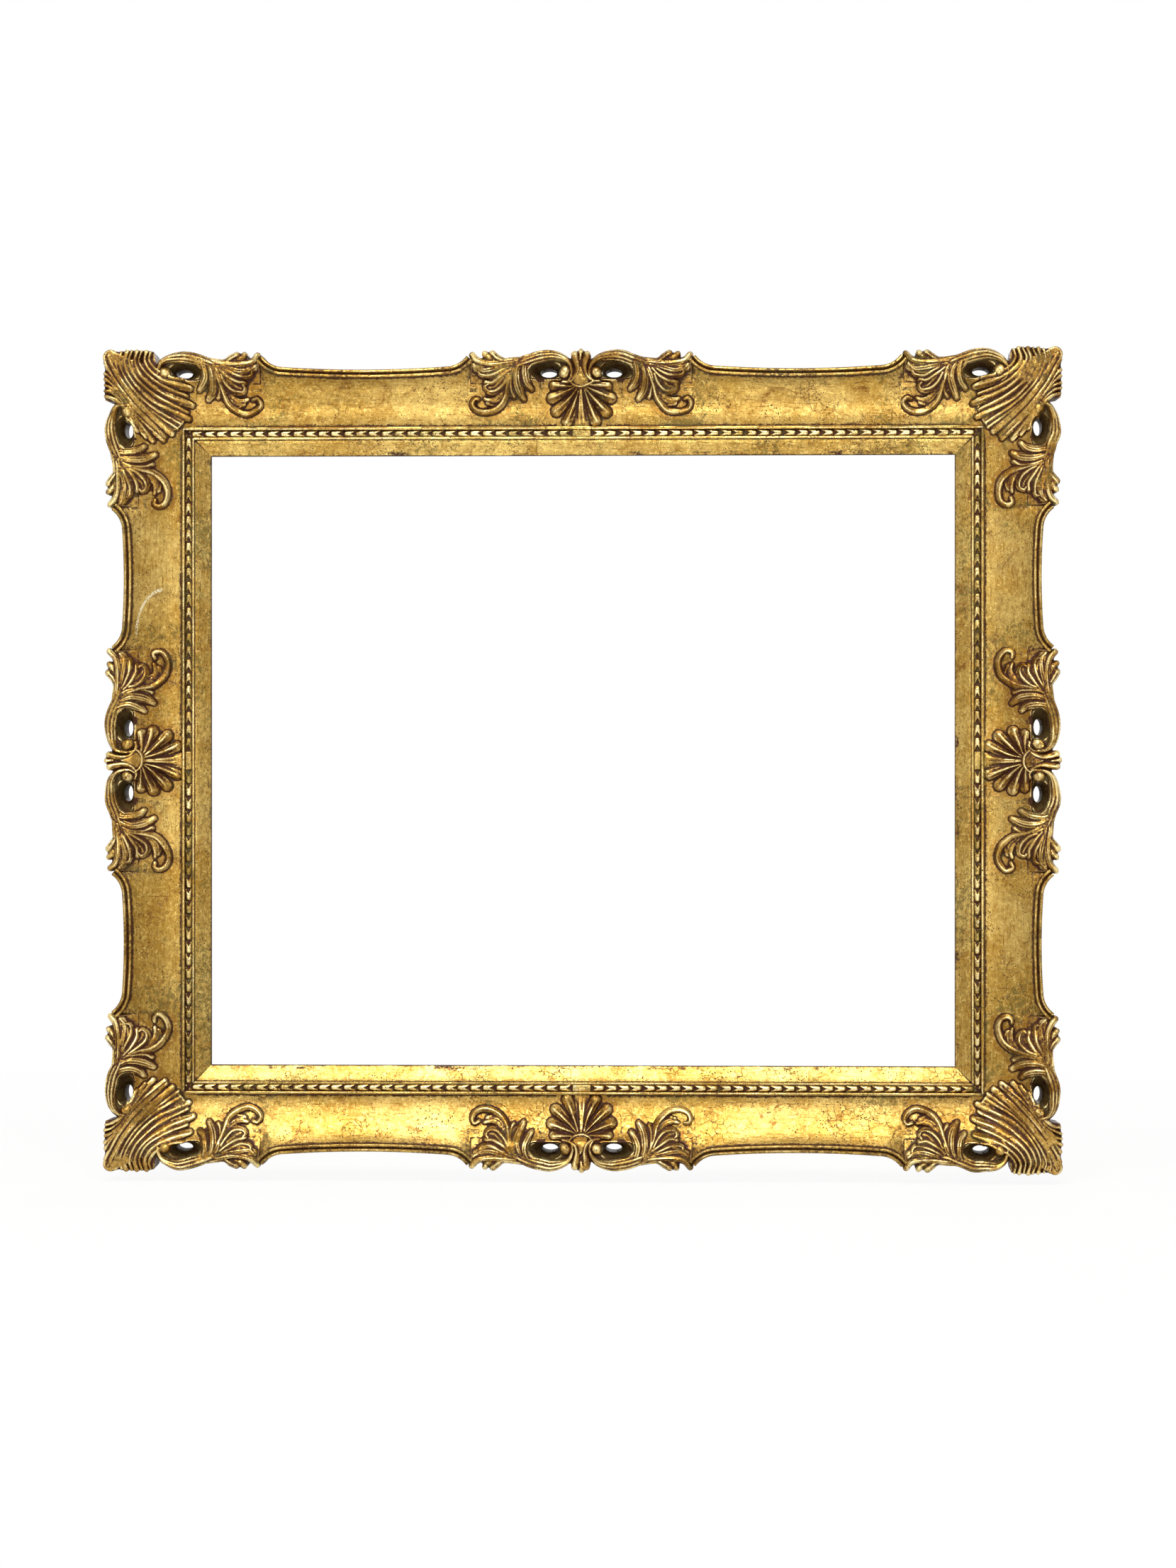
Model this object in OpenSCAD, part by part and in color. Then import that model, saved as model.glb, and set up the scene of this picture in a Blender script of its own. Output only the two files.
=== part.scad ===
// Swept and pierced gilt picture frame, landscape, with carved corner and centre ornaments.
// Everything is drawn lying on its back, with z as the height towards the viewer,
// and stand() turns it upright: x is the width, z is up and the front faces -y.
// The origin is the centre of the sight opening, in the plane of the back.

/* [Picture opening] */
// Width of the sight opening
sight_w = 600; // [520:1:1000]
// Height of the sight opening
sight_h = 492; // [440:1:900]

/* [Rail section] */
// Distance from the sight edge to the wall of the rebate
rebate_w = 6; // [3:0.5:10]
// Depth of the rebate from the back
rebate_d = 12; // [8:0.5:15]
// Thickness of the back plank
plank_t = 15; // [12:0.5:18]
// Width of the cove
cove_w = 37; // [33:0.5:41]
// Height of the cove at its inner end
cove_low = 23; // [20:0.5:25]
// Rise of the cove from its inner end to its outer end
cove_rise = 17; // [14:0.5:20]
// Radius of the cove
cove_r = 46; // [42:0.5:60]

/* [Rim] */
// Distance from the cove to the middle of the rim at the deepest point of a sweep
rim_out = 4; // [3:0.5:6]
// How far the plank behind a sweep reaches past the cove
plank_out = 10; // [8:0.5:14]
// Half width of the rim
rim_half = 3.4; // [2.5:0.1:4]
// Height of the rim's groove above the outer end of the cove
rim_rise = 2.6; // [1:0.1:4]
// Height of the rim's two beads above its groove
rim_bead_h = 1.8; // [1:0.1:2.4]
// Radius of the tight arc at each end of a sweep
sweep_end_r = 24; // [16:0.5:30]
// Turn of the tight arc in degrees
sweep_end_turn = 50; // [40:1:60]
// Half the turn of the long arc in degrees
sweep_mid_turn = 4; // [2:0.5:6]

/* [Sight moulding] */
// Height of the sight edge
lip_h = 17; // [15:0.5:20]
// Distance from the sight edge to the small step above the slope
slope_w = 12.7; // [10:0.1:14]
// Rise of the slope
slope_rise = 6; // [4:0.5:7]
// Width of the small step
step_w = 2; // [1:0.1:3]
// Height of the small step above the slope
step_rise = 1.6; // [1:0.1:3]
// Width of the row of leaf tips
leaf_w = 5.6; // [4:0.1:6]
// Depth of the floor of the row of leaf tips below the small step
leaf_drop = 0.6; // [0.2:0.1:1]
// Height of the leaf tips above that floor
leaf_rise = 2; // [1:0.1:3]
// Spacing of the leaf tips
leaf_pitch = 10.2; // [7:0.1:14]
// Length of the plain bar in the middle of each row
leaf_bar_l = 16; // [8:0.5:24]
// Width of the outer bead of the moulding
bead_w = 2.7; // [2:0.1:4]
// Height of the outer bead above the floor of the row of leaf tips
bead_rise = 3; // [2:0.1:5]
// Bevel of the outer bead's edges
bead_bevel = 0.5; // [0.2:0.1:0.8]

/* [Ornament] */
// How far the carving reaches past the cove
carve_w = 24; // [20:0.5:28]
// Length of a leaf spray from its ball to the outer peak
spray_l = 76; // [66:0.5:84]
// Distance from the middle of a rail to the ball of a centre spray
centre_ball_u = 13; // [11:0.5:18]
// Distance from the outer corner to the ball of a corner spray
corner_ball_s = 50; // [46:0.5:56]
// Radius of the ball inside each scroll
ball_r = 4.6; // [3.5:0.1:6]
// How far the carving stands above the cove
relief = 6; // [4:0.5:8]
// Length of the shell's ribs
shell_l = 32; // [26:0.5:34]
// Angle between two ribs of the shell in degrees
shell_step = 20; // [16:1:22]
// Ribs on each side of the shell's middle rib
shell_side_ribs = 4; // [2:1:5]
// Gap for glue between the carving and its seat
seat_gap = 0.2; // [0.1:0.05:0.4]
// Height of the carving's back where it stands out past the plank
carve_base = 8; // [2:0.5:11]

/* [Corner keys] */
// Length of a key across the mitre
key_l = 44; // [30:1:60]
// Width of a key
key_w = 10; // [6:0.5:16]
// Thickness of a key
key_t = 5; // [3:0.5:8]

/* [Hanger] */
// Height of the ring pivots above the middle of the frame
hanger_z = 115; // [60:1:180]
// Distance from the sight edge to the middle of each hanger
hanger_v = 38; // [24:0.5:56]
// Length of the strap below the barrel
strap_l = 36; // [30:0.5:50]
// Width of the strap
strap_w = 12; // [10:0.5:16]
// Thickness of the strap
strap_t = 1.2; // [0.8:0.1:1.6]
// Radius of the ring wire
wire_r = 1.25; // [1:0.05:1.6]
// Running clearance around the wire in the barrel
wire_gap = 0.08; // [0.05:0.01:0.1]
// Inner width of the ring
ring_w = 18; // [16:0.5:24]
// Inner height of the ring's straight sides
ring_leg = 5; // [3:0.5:8]
// Radius of a screw's shank
screw_r = 1.6; // [1.2:0.1:2]
// Length of a screw below the strap
screw_l = 11; // [8:0.5:11]
// Radius of a screw's countersunk head
screw_head_r = 3; // [2.4:0.1:3.6]
// Gap between a screw's head and its hole in the strap
screw_gap = 0.06; // [0.02:0.01:0.1]

/* [Hidden] */
// The sides, as quarter turns from the top
top_turns = 0;
left_turns = 1;
bottom_turns = 2;
right_turns = 3;
gold = [0.80, 0.62, 0.25];
old_gold = [0.70, 0.50, 0.18];
wood = [0.62, 0.48, 0.32];
steel = [0.62, 0.60, 0.56];
$fn = 48;
overrun = 1;
// Sides of the ball inside each scroll
ball_facets = 6;
// Steps along the cove's arc where the carving is cut to it
seat_steps = 3;

// Heights of the moulding, and distances from the sight edge outwards
slope_h = lip_h + slope_rise;
step_h = slope_h + step_rise;
leaf_floor_h = step_h - leaf_drop;
bead_h = leaf_floor_h + bead_rise;
row_v = slope_w + step_w;
bead_v = row_v + leaf_w;
cove_in = bead_v + bead_w;
cove_out = cove_in + cove_w;
cove_high = cove_low + cove_rise;
rim_v = cove_out + rim_out;
rim_h = cove_high + rim_rise;
reach = cove_out + carve_w;

// The cove is one arc through its two ends.
cove_chord = sqrt(cove_w * cove_w + cove_rise * cove_rise);
cove_back = sqrt(cove_r * cove_r - cove_chord * cove_chord / 4);
cove_cv = (cove_in + cove_out) / 2 - cove_back * cove_rise / cove_chord;
cove_ch = (cove_low + cove_high) / 2 + cove_back * cove_w / cove_chord;

// How deep the carving's strokes go below their crests
root_depth = relief * 2;
// Height of the flat ground between the leaves outside the cove
ground_drop_share = 0.35;
ground_h = cove_high - relief * ground_drop_share;

// The places where the carving ends and the sweeps begin.
centre_end_u = centre_ball_u + spray_l;
corner_ball_a = corner_ball_s - reach;
corner_end_a = corner_ball_a + spray_l;
sweep_turn = sweep_mid_turn + sweep_end_turn;

// Hanger places, with n as the height out of the back.
barrel_r = wire_r + wire_gap + strap_t;
pivot_lift_share = 0.25;
pivot_n = barrel_r + strap_t * pivot_lift_share;
ring_hub = ring_w / 2 + wire_r;
screw_first_share = 0.38;
screw_second_share = 0.80;
slot_floor_share = 0.6;
slot_width_share = 0.33;

function span(side) = side % 2 == 0 ? sight_w : sight_h;
function across(side) = side % 2 == 0 ? sight_h : sight_w;
function mix(a, b, t) = a + (b - a) * t;
function clamp(x, low, high) = min(max(x, low), high);
// Height of the cove at distance v from the sight edge
function cove_h(v) =
    cove_ch - sqrt(cove_r * cove_r - pow(clamp(v, cove_in, cove_out) - cove_cv, 2));
function sweep_half(side) = (span(side) / 2 - corner_end_a - centre_end_u) / 2;
function sweep_middle(side) = centre_end_u + sweep_half(side);
// Radius of the long arc that fills the sweep between its two tight arcs
function sweep_mid_r(side) =
    sweep_end_r + (sweep_half(side) - sweep_end_r * sin(sweep_turn)) / sin(sweep_mid_turn);
// A point of the rim's middle line, at turn degrees from the middle of the sweep
function sweep_point(side, turn) =
    let (big = sweep_mid_r(side),
         small = sweep_end_r)
    abs(turn) <= sweep_mid_turn
    ? [big * sin(turn), rim_v + big * (1 - cos(turn))]
    : [sign(turn) * ((big - small) * sin(sweep_mid_turn) + small * sin(abs(turn))),
       rim_v + big - (big - small) * cos(sweep_mid_turn) - small * cos(turn)];

module stand() {
    rotate([90, 0, 0]) children();
}

// Puts a rail's own frame (x along the rail, y outwards from the sight edge) on one side.
module on_side(side) {
    rotate([0, 0, 90 * side])
        translate([0, across(side) / 2, 0])
            children();
}

// Puts a corner's own frame (x along the rail from the sight corner, y outwards) on one
// corner: 0 is top left, 1 bottom left, 2 bottom right and 3 top right.
module on_corner(corner) {
    if (corner % 2 == 0)
        rotate([0, 0, 90 * corner])
            translate([-sight_w / 2, sight_h / 2, 0])
                children();
    else
        rotate([0, 0, 90 * (corner + 1)])
            translate([sight_w / 2, sight_h / 2, 0])
                mirror([1, 0, 0])
                    children();
}

// The plan of one side between its two mitres
module mitred(side, height) {
    half = span(side) / 2;
    linear_extrude(height)
        polygon([[-half, 0], [half, 0],
                 [half + reach, reach], [-half - reach, reach]]);
}

// Extrudes a (v, h) section along one side, longer than its mitres need.
module along(length) {
    translate([-length / 2, 0, 0])
        rotate([90, 0, 90])
            linear_extrude(length)
                children();
}

// The body that carries the cove
module rail_body(length) {
    difference() {
        along(length)
            polygon([[rebate_w, 0], [cove_out, 0], [cove_out, cove_high],
                     [cove_in, cove_high], [cove_in, rebate_d], [rebate_w, rebate_d]]);
        translate([-length / 2 - overrun, cove_cv, cove_ch])
            rotate([0, 90, 0])
                cylinder(h = length + 2 * overrun, r = cove_r);
    }
}

// A closed solid through rings of points, each ring with as many points as the next.
// It ends in a flat face, or in a point where apex holds one.
module loft(rings, apex = []) {
    m = len(rings[0]);
    last = len(rings) - 1;
    polyhedron(
        points = concat([for (ring = rings) each ring], apex),
        faces = concat(
            [[for (j = [0 : m - 1]) j]],
            [for (i = [0 : last - 1], j = [0 : m - 1])
                let (k = (j + 1) % m)
                each [[i * m + k, i * m + j, (i + 1) * m + j],
                      [i * m + k, (i + 1) * m + j, (i + 1) * m + k]]],
            len(apex) == 0
            ? [[for (j = [m - 1 : -1 : 0]) last * m + j]]
            : [for (j = [0 : m - 1]) [last * m + (j + 1) % m, last * m + j, (last + 1) * m]]));
}

// The rim's section from its outer foot, over two beads and a groove, to its inner foot:
// the distance from its middle as a share of rim_half, then the height above rim_h as
// a share of rim_bead_h
rim_shares = [[1, 0.8], [0.6, 1], [0.1, 0.2], [-0.4, 0.75], [-1, -0.1]];
rim_end_steps = 4;

// One sweep: the plank, the shelf that widens the cove, and the rim that edges it
module sweep(side) {
    half = sweep_half(side);
    end_turns = [for (i = [0 : rim_end_steps]) mix(sweep_mid_turn, sweep_turn,
                                                   i / rim_end_steps)];
    turns = concat([for (i = [rim_end_steps : -1 : 0]) -end_turns[i]], [0], end_turns);
    foot = plank_t - overrun;
    translate([-half, cove_out - overrun, 0])
        cube([2 * half, plank_out + overrun, plank_t]);
    translate([0, 0, foot])
        linear_extrude(cove_high - foot)
            polygon(concat([[-half, cove_out - overrun]],
                           [for (t = turns) sweep_point(side, t)],
                           [[half, cove_out - overrun]]));
    loft([for (t = turns)
        let (middle = sweep_point(side, t),
             outwards = abs(t) < sweep_turn ? [-sin(t), cos(t)] : [0, 1])
        [for (p = concat([[rim_half, foot]],
                         [for (q = rim_shares) [q[0] * rim_half, rim_h + q[1] * rim_bead_h]],
                         [[-rim_half, foot]]))
            [middle[0] + outwards[0] * p[0], middle[1] + outwards[1] * p[0], p[1]]]]);
}

// The block of one key, across the mitre on the back
module key_block(grow) {
    middle = (rebate_w + cove_out) / 2;
    translate([-middle, middle, 0])
        rotate([0, 0, 45])
            translate([-key_l / 2, -key_w / 2, -grow])
                cube([key_l, key_w, key_t + grow]);
}

module screw_holes(side) {
    if (side % 2 == 1)
        on_hanger(side == left_turns ? -1 : 1)
            for (share = [screw_first_share, screw_second_share])
                translate([0, -strap_l * share, -screw_l])
                    cylinder(h = screw_l + overrun, r = screw_r);
}

// Puts a hanger's frame on the back: x along the wall, y up, z out of the back.
module on_hanger(sense) {
    translate([sense * (sight_w / 2 + hanger_v), hanger_z, 0])
        mirror([0, 0, 1])
            children();
}

module rail(side) {
    length = span(side) + 2 * reach;
    color(gold)
        stand()
            difference() {
                on_side(side)
                    union() {
                        intersection() {
                            rail_body(length);
                            mitred(side, reach);
                        }
                        for (sense = [-1, 1])
                            translate([sense * sweep_middle(side), 0, 0])
                                sweep(side);
                    }
                for (corner = [0 : 3])
                    on_corner(corner)
                        key_block(overrun);
                screw_holes(side);
            }
}

// One pointed leaf tip: shares of leaf_pitch along the row, then of leaf_w across it
leaf_tip_shares = [[0, 0.30], [0.30, 0.06], [0.86, 0.42], [0.86, 0.58], [0.30, 0.94],
                   [0, 0.70]];
leaf_bar_shares = [0.94, 0.80];
// Two places on the hollow slope: shares of slope_w, then of slope_rise
slope_shares = [[0.50, 0.42], [0.17, 0.12]];

module leaf_tip() {
    polygon([for (p = leaf_tip_shares) [p[0] * leaf_pitch, p[1] * leaf_w]]);
}

// The moulding round the opening, with its row of leaf tips
module sight_moulding(side) {
    half = span(side) / 2;
    count = floor((half + row_v - leaf_bar_l / 2) / leaf_pitch);
    pitch = (half + row_v - leaf_bar_l / 2) / count;
    color(old_gold)
        stand()
            on_side(side)
                union() {
                    intersection() {
                        along(span(side) + 2 * reach)
                            polygon(concat(
                                [[0, rebate_d], [cove_in, rebate_d],
                                 [cove_in, bead_h - bead_bevel],
                                 [cove_in - bead_bevel, bead_h],
                                 [bead_v + bead_bevel, bead_h],
                                 [bead_v, bead_h - bead_bevel],
                                 [bead_v, leaf_floor_h], [row_v, leaf_floor_h],
                                 [row_v, step_h], [slope_w, step_h], [slope_w, slope_h]],
                                [for (p = slope_shares)
                                    [p[0] * slope_w, lip_h + p[1] * slope_rise]],
                                [[0, lip_h]]));
                        mitred(side, reach);
                    }
                    translate([0, row_v, leaf_floor_h])
                        linear_extrude(leaf_rise)
                            union() {
                                translate([0, leaf_w / 2])
                                    square([leaf_bar_l * leaf_bar_shares[0],
                                            leaf_w * leaf_bar_shares[1]], center = true);
                                for (sense = [0, 1], i = [0 : count - 1])
                                    mirror([sense, 0])
                                        translate([leaf_bar_l / 2 + i * pitch, 0])
                                            leaf_tip();
                            }
                }
}

// A round boss with a domed top
ball_top_share = 0.35;

module ball() {
    hull() {
        translate([0, 0, -ball_r])
            cylinder(h = ball_r, r = ball_r, $fn = ball_facets);
        cylinder(h = ball_r, r = ball_r * ball_top_share, $fn = ball_facets);
    }
}

// The direction of a line of points at point i, seen from above
function heading(points, i) =
    let (a = points[max(i - 1, 0)],
         b = points[min(i + 1, len(points) - 1)],
         d = [b[0] - a[0], b[1] - a[1]])
    d / norm(d);

// The section of a carved ridge: steep sides, and a crest along the middle
ridge_fall_share = 0.8;
function ridge_ring(place, way, r) =
    let (fall = r * ridge_fall_share)
    [for (p = [[-r, -root_depth], [-r, -fall], [0, 0], [r, -fall], [r, -root_depth]])
        [place[0] + way[1] * p[0], place[1] - way[0] * p[0], place[2] + p[1]]];

// A carved leaf through points given as [x, y, top], with its half widths at the start,
// in the middle and at the end, that falls to a point past the end
module leaf(points, widths) {
    last = len(points) - 1;
    way = heading(points, last);
    loft([for (i = [0 : last])
             ridge_ring(points[i], heading(points, i), swell(widths, i / last))],
         [points[last] + [way[0] * widths[2], way[1] * widths[2], -relief]]);
}

function swell(widths, t) =
    t < 0.5 ? mix(widths[0], widths[1], 2 * t) : mix(widths[1], widths[2], 2 * t - 1);

// A short lobe between two points given as [x, y, top], with the half widths of its ends
module lobe(points, widths) {
    way = heading(points, 1);
    hull()
        loft([ridge_ring(points[0], way, widths[0]), ridge_ring(points[1], way, widths[1])]);
}

// Turns [x, v] into a point that stands lift above the cove.
function on_cove(x, v, lift) = [x, v, cove_h(v) + lift];

// The scroll round the pierced hole, and the leaves of the spray. Each point is x from
// the ball as a share of spray_l, then v as a share of reach. The half widths and the
// lift that follow are shares of relief.
spray_shares = [
    [[[0.01, 0.71], [-0.08, 0.80], [-0.02, 0.91], [0.13, 0.958], [0.32, 0.915],
      [0.54, 0.80]], [0.40, 0.58, 0.62], 1.15],
    [[[0.53, 0.83], [0.595, 0.64], [0.66, 0.48], [0.80, 0.41], [0.95, 0.45],
      [0.94, 0.53]], [0.55, 0.92, 0.40], 1.00],
    [[[0.47, 0.85], [0.74, 0.865], [0.97, 0.95]], [0.55, 0.98, 0.45], 1.25],
    [[[0.52, 0.76], [0.52, 0.61], [0.43, 0.52]], [0.60, 0.90, 0.34], 0.95],
    [[[0.63, 0.82], [0.80, 0.755], [0.92, 0.745]], [0.45, 0.62, 0.36], 0.90],
    [[[0.57, 0.74], [0.70, 0.655], [0.83, 0.65]], [0.55, 0.75, 0.40], 0.95],
    [[[0.63, 0.60], [0.74, 0.515], [0.87, 0.52]], [0.35, 0.55, 0.30], 0.75],
    [[[0.43, 0.80], [0.36, 0.60]], [0.70, 0.40], 1.00]];
// The ground inside the scroll and between the leaves outside the cove, and the hole
// through it, as its middle and its two radii
web_shares = [[-0.03, 0.70], [0.97, 0.70], [0.97, 0.88], [0.54, 0.81], [0.28, 0.91],
              [0.04, 0.91], [-0.05, 0.84]];
hole_shares = [[0.19, 0.785], [0.105, 0.045]];
hole_facets = 6;
ball_v_share = 0.78;
ball_lift_share = 0.4;
// Rows of this many points are lobes, and longer ones are leaves.
lobe_points = 2;

module spray() {
    for (s = spray_shares) {
        points = [for (p = s[0]) on_cove(p[0] * spray_l, p[1] * reach, s[2] * relief)];
        if (len(points) > lobe_points)
            leaf(points, s[1] * relief);
        else
            lobe(points, s[1] * relief);
    }
    translate(on_cove(0, reach * ball_v_share, relief * ball_lift_share))
        ball();
    ground_slab()
        difference() {
            polygon([for (p = web_shares) [p[0] * spray_l, p[1] * reach]]);
            translate([hole_shares[0][0] * spray_l, hole_shares[0][1] * reach])
                scale([hole_shares[1][0] * spray_l, hole_shares[1][1] * reach])
                    circle(r = 1, $fn = hole_facets);
        }
}

// A flat piece of ground for carving that stands outside the cove
module ground_slab() {
    translate([0, 0, carve_base])
        linear_extrude(ground_h - carve_base)
            children();
}

// The section of the cove and the wall outside it, a glue gap larger
function seat_section() =
    concat([[-overrun, 0], [-overrun, cove_low + seat_gap]],
           [for (i = [0 : seat_steps])
               let (v = mix(cove_in, cove_out, i / seat_steps))
               [v, cove_h(v) + seat_gap]],
           [[cove_out + seat_gap, cove_high + seat_gap], [cove_out + seat_gap, 0]]);

// What the carving sits on, from x = from to x = to
module seat(from, to) {
    translate([from, 0, 0])
        rotate([90, 0, 90])
            linear_extrude(to - from)
                polygon(seat_section());
}

// Keeps the carving clear of the rim where a sweep begins.
module end_trim(from) {
    translate([from - seat_gap, cove_out - overrun, 0])
        cube([reach, reach, reach]);
}

// The column over a shell: two strands that fall to either side, a band at their feet and
// a pendant between them. Places are shares of reach, and the half widths and the lift
// that follow are shares of relief.
strand_shares = [[[0.035, 0.955], [0.035, 0.82], [0.10, 0.66]], [0.50, 0.42, 0.36], 1.25];
band_shares = [[[-0.10, 0.66], [0, 0.615], [0.10, 0.66]], [0.30, 0.36, 0.30], 1.20];
pendant_shares = [[[0, 0.76], [0, 0.67]], [0.40, 0.70], 0.90];
column_slab_shares = [[-0.14, 0.69], [0.14, 0.69], [0.10, 0.84], [0.04, 0.94],
                      [-0.04, 0.94], [-0.10, 0.84]];

module centre_column() {
    for (sense = [0, 1])
        mirror([sense, 0, 0])
            leaf(on_coves(strand_shares), strand_shares[1] * relief);
    leaf(on_coves(band_shares), band_shares[1] * relief);
    lobe(on_coves(pendant_shares), pendant_shares[1] * relief);
    ground_slab()
        polygon(column_slab_shares * reach);
}

function on_coves(shares) =
    [for (p = shares[0]) on_cove(p[0] * reach, p[1] * reach, shares[2] * relief)];

// The shell's ribs fan out from below the column, and the outer ones are shorter.
shell_root_share = 0.68;
shell_fall_share = 0.30;
shell_rib_shares = [0.12, 1];
shell_width_shares = [0.24, 0.62];
shell_lift_share = 0.85;

module shell() {
    for (i = [-shell_side_ribs : shell_side_ribs]) {
        turn = i * shell_step;
        length = shell_l * (1 - shell_fall_share * pow(abs(i) / shell_side_ribs, 2));
        lobe([for (share = shell_rib_shares)
                  on_cove(length * share * sin(turn),
                          reach * shell_root_share - length * share * cos(turn),
                          relief * shell_lift_share)],
             shell_width_shares * relief);
    }
}

module centre_ornament(side) {
    color(gold)
        stand()
            on_side(side)
                difference() {
                    union() {
                        centre_column();
                        shell();
                        for (sense = [0, 1])
                            mirror([sense, 0, 0])
                                translate([centre_ball_u, 0, 0])
                                    spray();
                    }
                    seat(-centre_end_u - reach, centre_end_u + reach);
                    for (sense = [0, 1])
                        mirror([sense, 0, 0])
                            end_trim(centre_end_u);
                }
}

// Strands of the corner fan, from the outer edges to the inner corner, as shares of
// reach: the distance from the outer side edge, then from the outer top edge. The one
// along the mitre is the broadest.
fan_shares = [
    [[0.42, 0.01], [0.49, 0.22], [0.79, 0.39]],
    [[0.34, 0.01], [0.42, 0.21], [0.56, 0.33], [0.80, 0.46]],
    [[0.26, 0.01], [0.34, 0.20], [0.52, 0.385], [0.80, 0.53]],
    [[0.16, 0.01], [0.27, 0.20], [0.47, 0.42], [0.76, 0.62]],
    [[0.06, 0.06], [0.23, 0.22], [0.44, 0.45], [0.68, 0.69]],
    [[0.01, 0.16], [0.19, 0.28], [0.385, 0.50], [0.54, 0.76]],
    [[0.01, 0.25], [0.18, 0.36], [0.32, 0.54], [0.44, 0.81]],
    [[0.01, 0.34], [0.22, 0.48], [0.355, 0.80]],
    [[0.01, 0.42], [0.14, 0.48], [0.24, 0.66]]];
fan_width_shares = [0.52, 0.64, 0.44];
fan_broad_shares = [0.70, 0.95, 0.60];
fan_lift_shares = [1.10, 0.75];
// The ground outside the two coves
corner_core_shares = [[0.03, 0.03], [0.475, 0.03], [0.49, 0.31], [0.31, 0.31],
                      [0.31, 0.49], [0.03, 0.475]];

// A point of the fan in the corner's frame: the steeper of the two coves carries it.
function on_corner_cove(share, lift) =
    [(share[0] - 1) * reach, (1 - share[1]) * reach,
     cove_h((1 - min(share[0], share[1])) * reach) + lift];

module corner_fan() {
    middle = (len(fan_shares) - 1) / 2;
    for (i = [0 : len(fan_shares) - 1]) {
        strand = fan_shares[i];
        last = len(strand) - 1;
        leaf([for (k = [0 : last])
                  on_corner_cove(strand[k], relief * mix(fan_lift_shares[0],
                                                         fan_lift_shares[1], k / last))],
             (i == middle ? fan_broad_shares : fan_width_shares) * relief);
    }
    ground_slab()
        polygon([for (p = corner_core_shares) [(p[0] - 1) * reach, (1 - p[1]) * reach]]);
}

// Reflects across the corner's mitre line.
module across_mitre() {
    mirror([1, 1, 0]) children();
}

module corner_ornament(corner) {
    color(gold)
        stand()
            on_corner(corner)
                difference() {
                    union() {
                        corner_fan();
                        translate([corner_ball_a, 0, 0])
                            spray();
                        across_mitre()
                            translate([corner_ball_a, 0, 0])
                                spray();
                    }
                    seat(-cove_out - seat_gap / 2, corner_end_a + reach);
                    across_mitre()
                        seat(overrun - cove_out, corner_end_a + reach);
                    end_trim(corner_end_a);
                    across_mitre()
                        end_trim(corner_end_a);
                }
}

module mitre_keys() {
    color(wood)
        stand()
            for (corner = [0 : 3])
                on_corner(corner)
                    key_block(0);
}

// One leaf of sheet metal folded round the ring's straight bar, with two screw holes
module hanger_strap(sense) {
    color(steel)
        stand()
            on_hanger(sense)
                difference() {
                    union() {
                        translate([-strap_w / 2, -strap_l, 0])
                            cube([strap_w, strap_l, strap_t]);
                        translate([-strap_w / 2, 0, pivot_n])
                            rotate([0, 90, 0])
                                cylinder(h = strap_w, r = barrel_r);
                    }
                    translate([-strap_w / 2 - overrun, 0, pivot_n])
                        rotate([0, 90, 0])
                            cylinder(h = strap_w + 2 * overrun, r = wire_r + wire_gap);
                    for (share = [screw_first_share, screw_second_share])
                        translate([0, -strap_l * share, 0]) {
                            cylinder(h = strap_t, r1 = screw_r + screw_gap,
                                     r2 = screw_head_r + screw_gap);
                            translate([0, 0, -overrun])
                                cylinder(h = strap_t, r = screw_r + screw_gap);
                            translate([0, 0, strap_t])
                                cylinder(h = overrun, r = screw_head_r + screw_gap);
                        }
                }
}

// The ring: a straight bar in the barrel, two legs and a half round, hanging down
module hanger_ring(sense) {
    color(steel)
        stand()
            on_hanger(sense)
                translate([0, 0, pivot_n])
                    union() {
                        rotate([0, 90, 0])
                            translate([0, 0, -ring_hub])
                                cylinder(h = 2 * ring_hub, r = wire_r);
                        for (way = [-1, 1]) {
                            translate([way * ring_hub, 0, 0])
                                sphere(r = wire_r);
                            translate([way * ring_hub, -ring_leg, 0])
                                rotate([-90, 0, 0])
                                    cylinder(h = ring_leg, r = wire_r);
                        }
                        translate([0, -ring_leg, 0])
                            rotate([0, 0, 180])
                                rotate_extrude(angle = 180)
                                    translate([ring_hub, 0])
                                        circle(r = wire_r);
                    }
}

// Two countersunk wood screws, with slots
module hanger_screws(sense) {
    color(steel)
        stand()
            on_hanger(sense)
                for (share = [screw_first_share, screw_second_share])
                    translate([0, -strap_l * share, 0])
                        difference() {
                            union() {
                                translate([0, 0, -screw_l])
                                    cylinder(h = screw_l, r = screw_r);
                                cylinder(h = strap_t, r1 = screw_r, r2 = screw_head_r);
                            }
                            translate([-screw_head_r, -screw_r * slot_width_share / 2,
                                       strap_t * slot_floor_share])
                                cube([2 * screw_head_r, screw_r * slot_width_share, strap_t]);
                        }
}

rail(top_turns);  // top_rail
rail(left_turns);  // left_rail
rail(bottom_turns);  // bottom_rail
rail(right_turns);  // right_rail
sight_moulding(top_turns);  // top_sight_moulding
sight_moulding(left_turns);  // left_sight_moulding
sight_moulding(bottom_turns);  // bottom_sight_moulding
sight_moulding(right_turns);  // right_sight_moulding
centre_ornament(top_turns);  // centre_ornament_top
centre_ornament(left_turns);  // centre_ornament_left
centre_ornament(bottom_turns);  // centre_ornament_bottom
centre_ornament(right_turns);  // centre_ornament_right
corner_ornament(0);  // corner_ornament_top_left
corner_ornament(1);  // corner_ornament_bottom_left
corner_ornament(2);  // corner_ornament_bottom_right
corner_ornament(3);  // corner_ornament_top_right
mitre_keys();
hanger_strap(-1);  // hanger_strap_left
hanger_strap(1);  // hanger_strap_right
hanger_ring(-1);  // hanger_ring_left
hanger_ring(1);  // hanger_ring_right
hanger_screws(-1);  // hanger_screws_left
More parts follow.
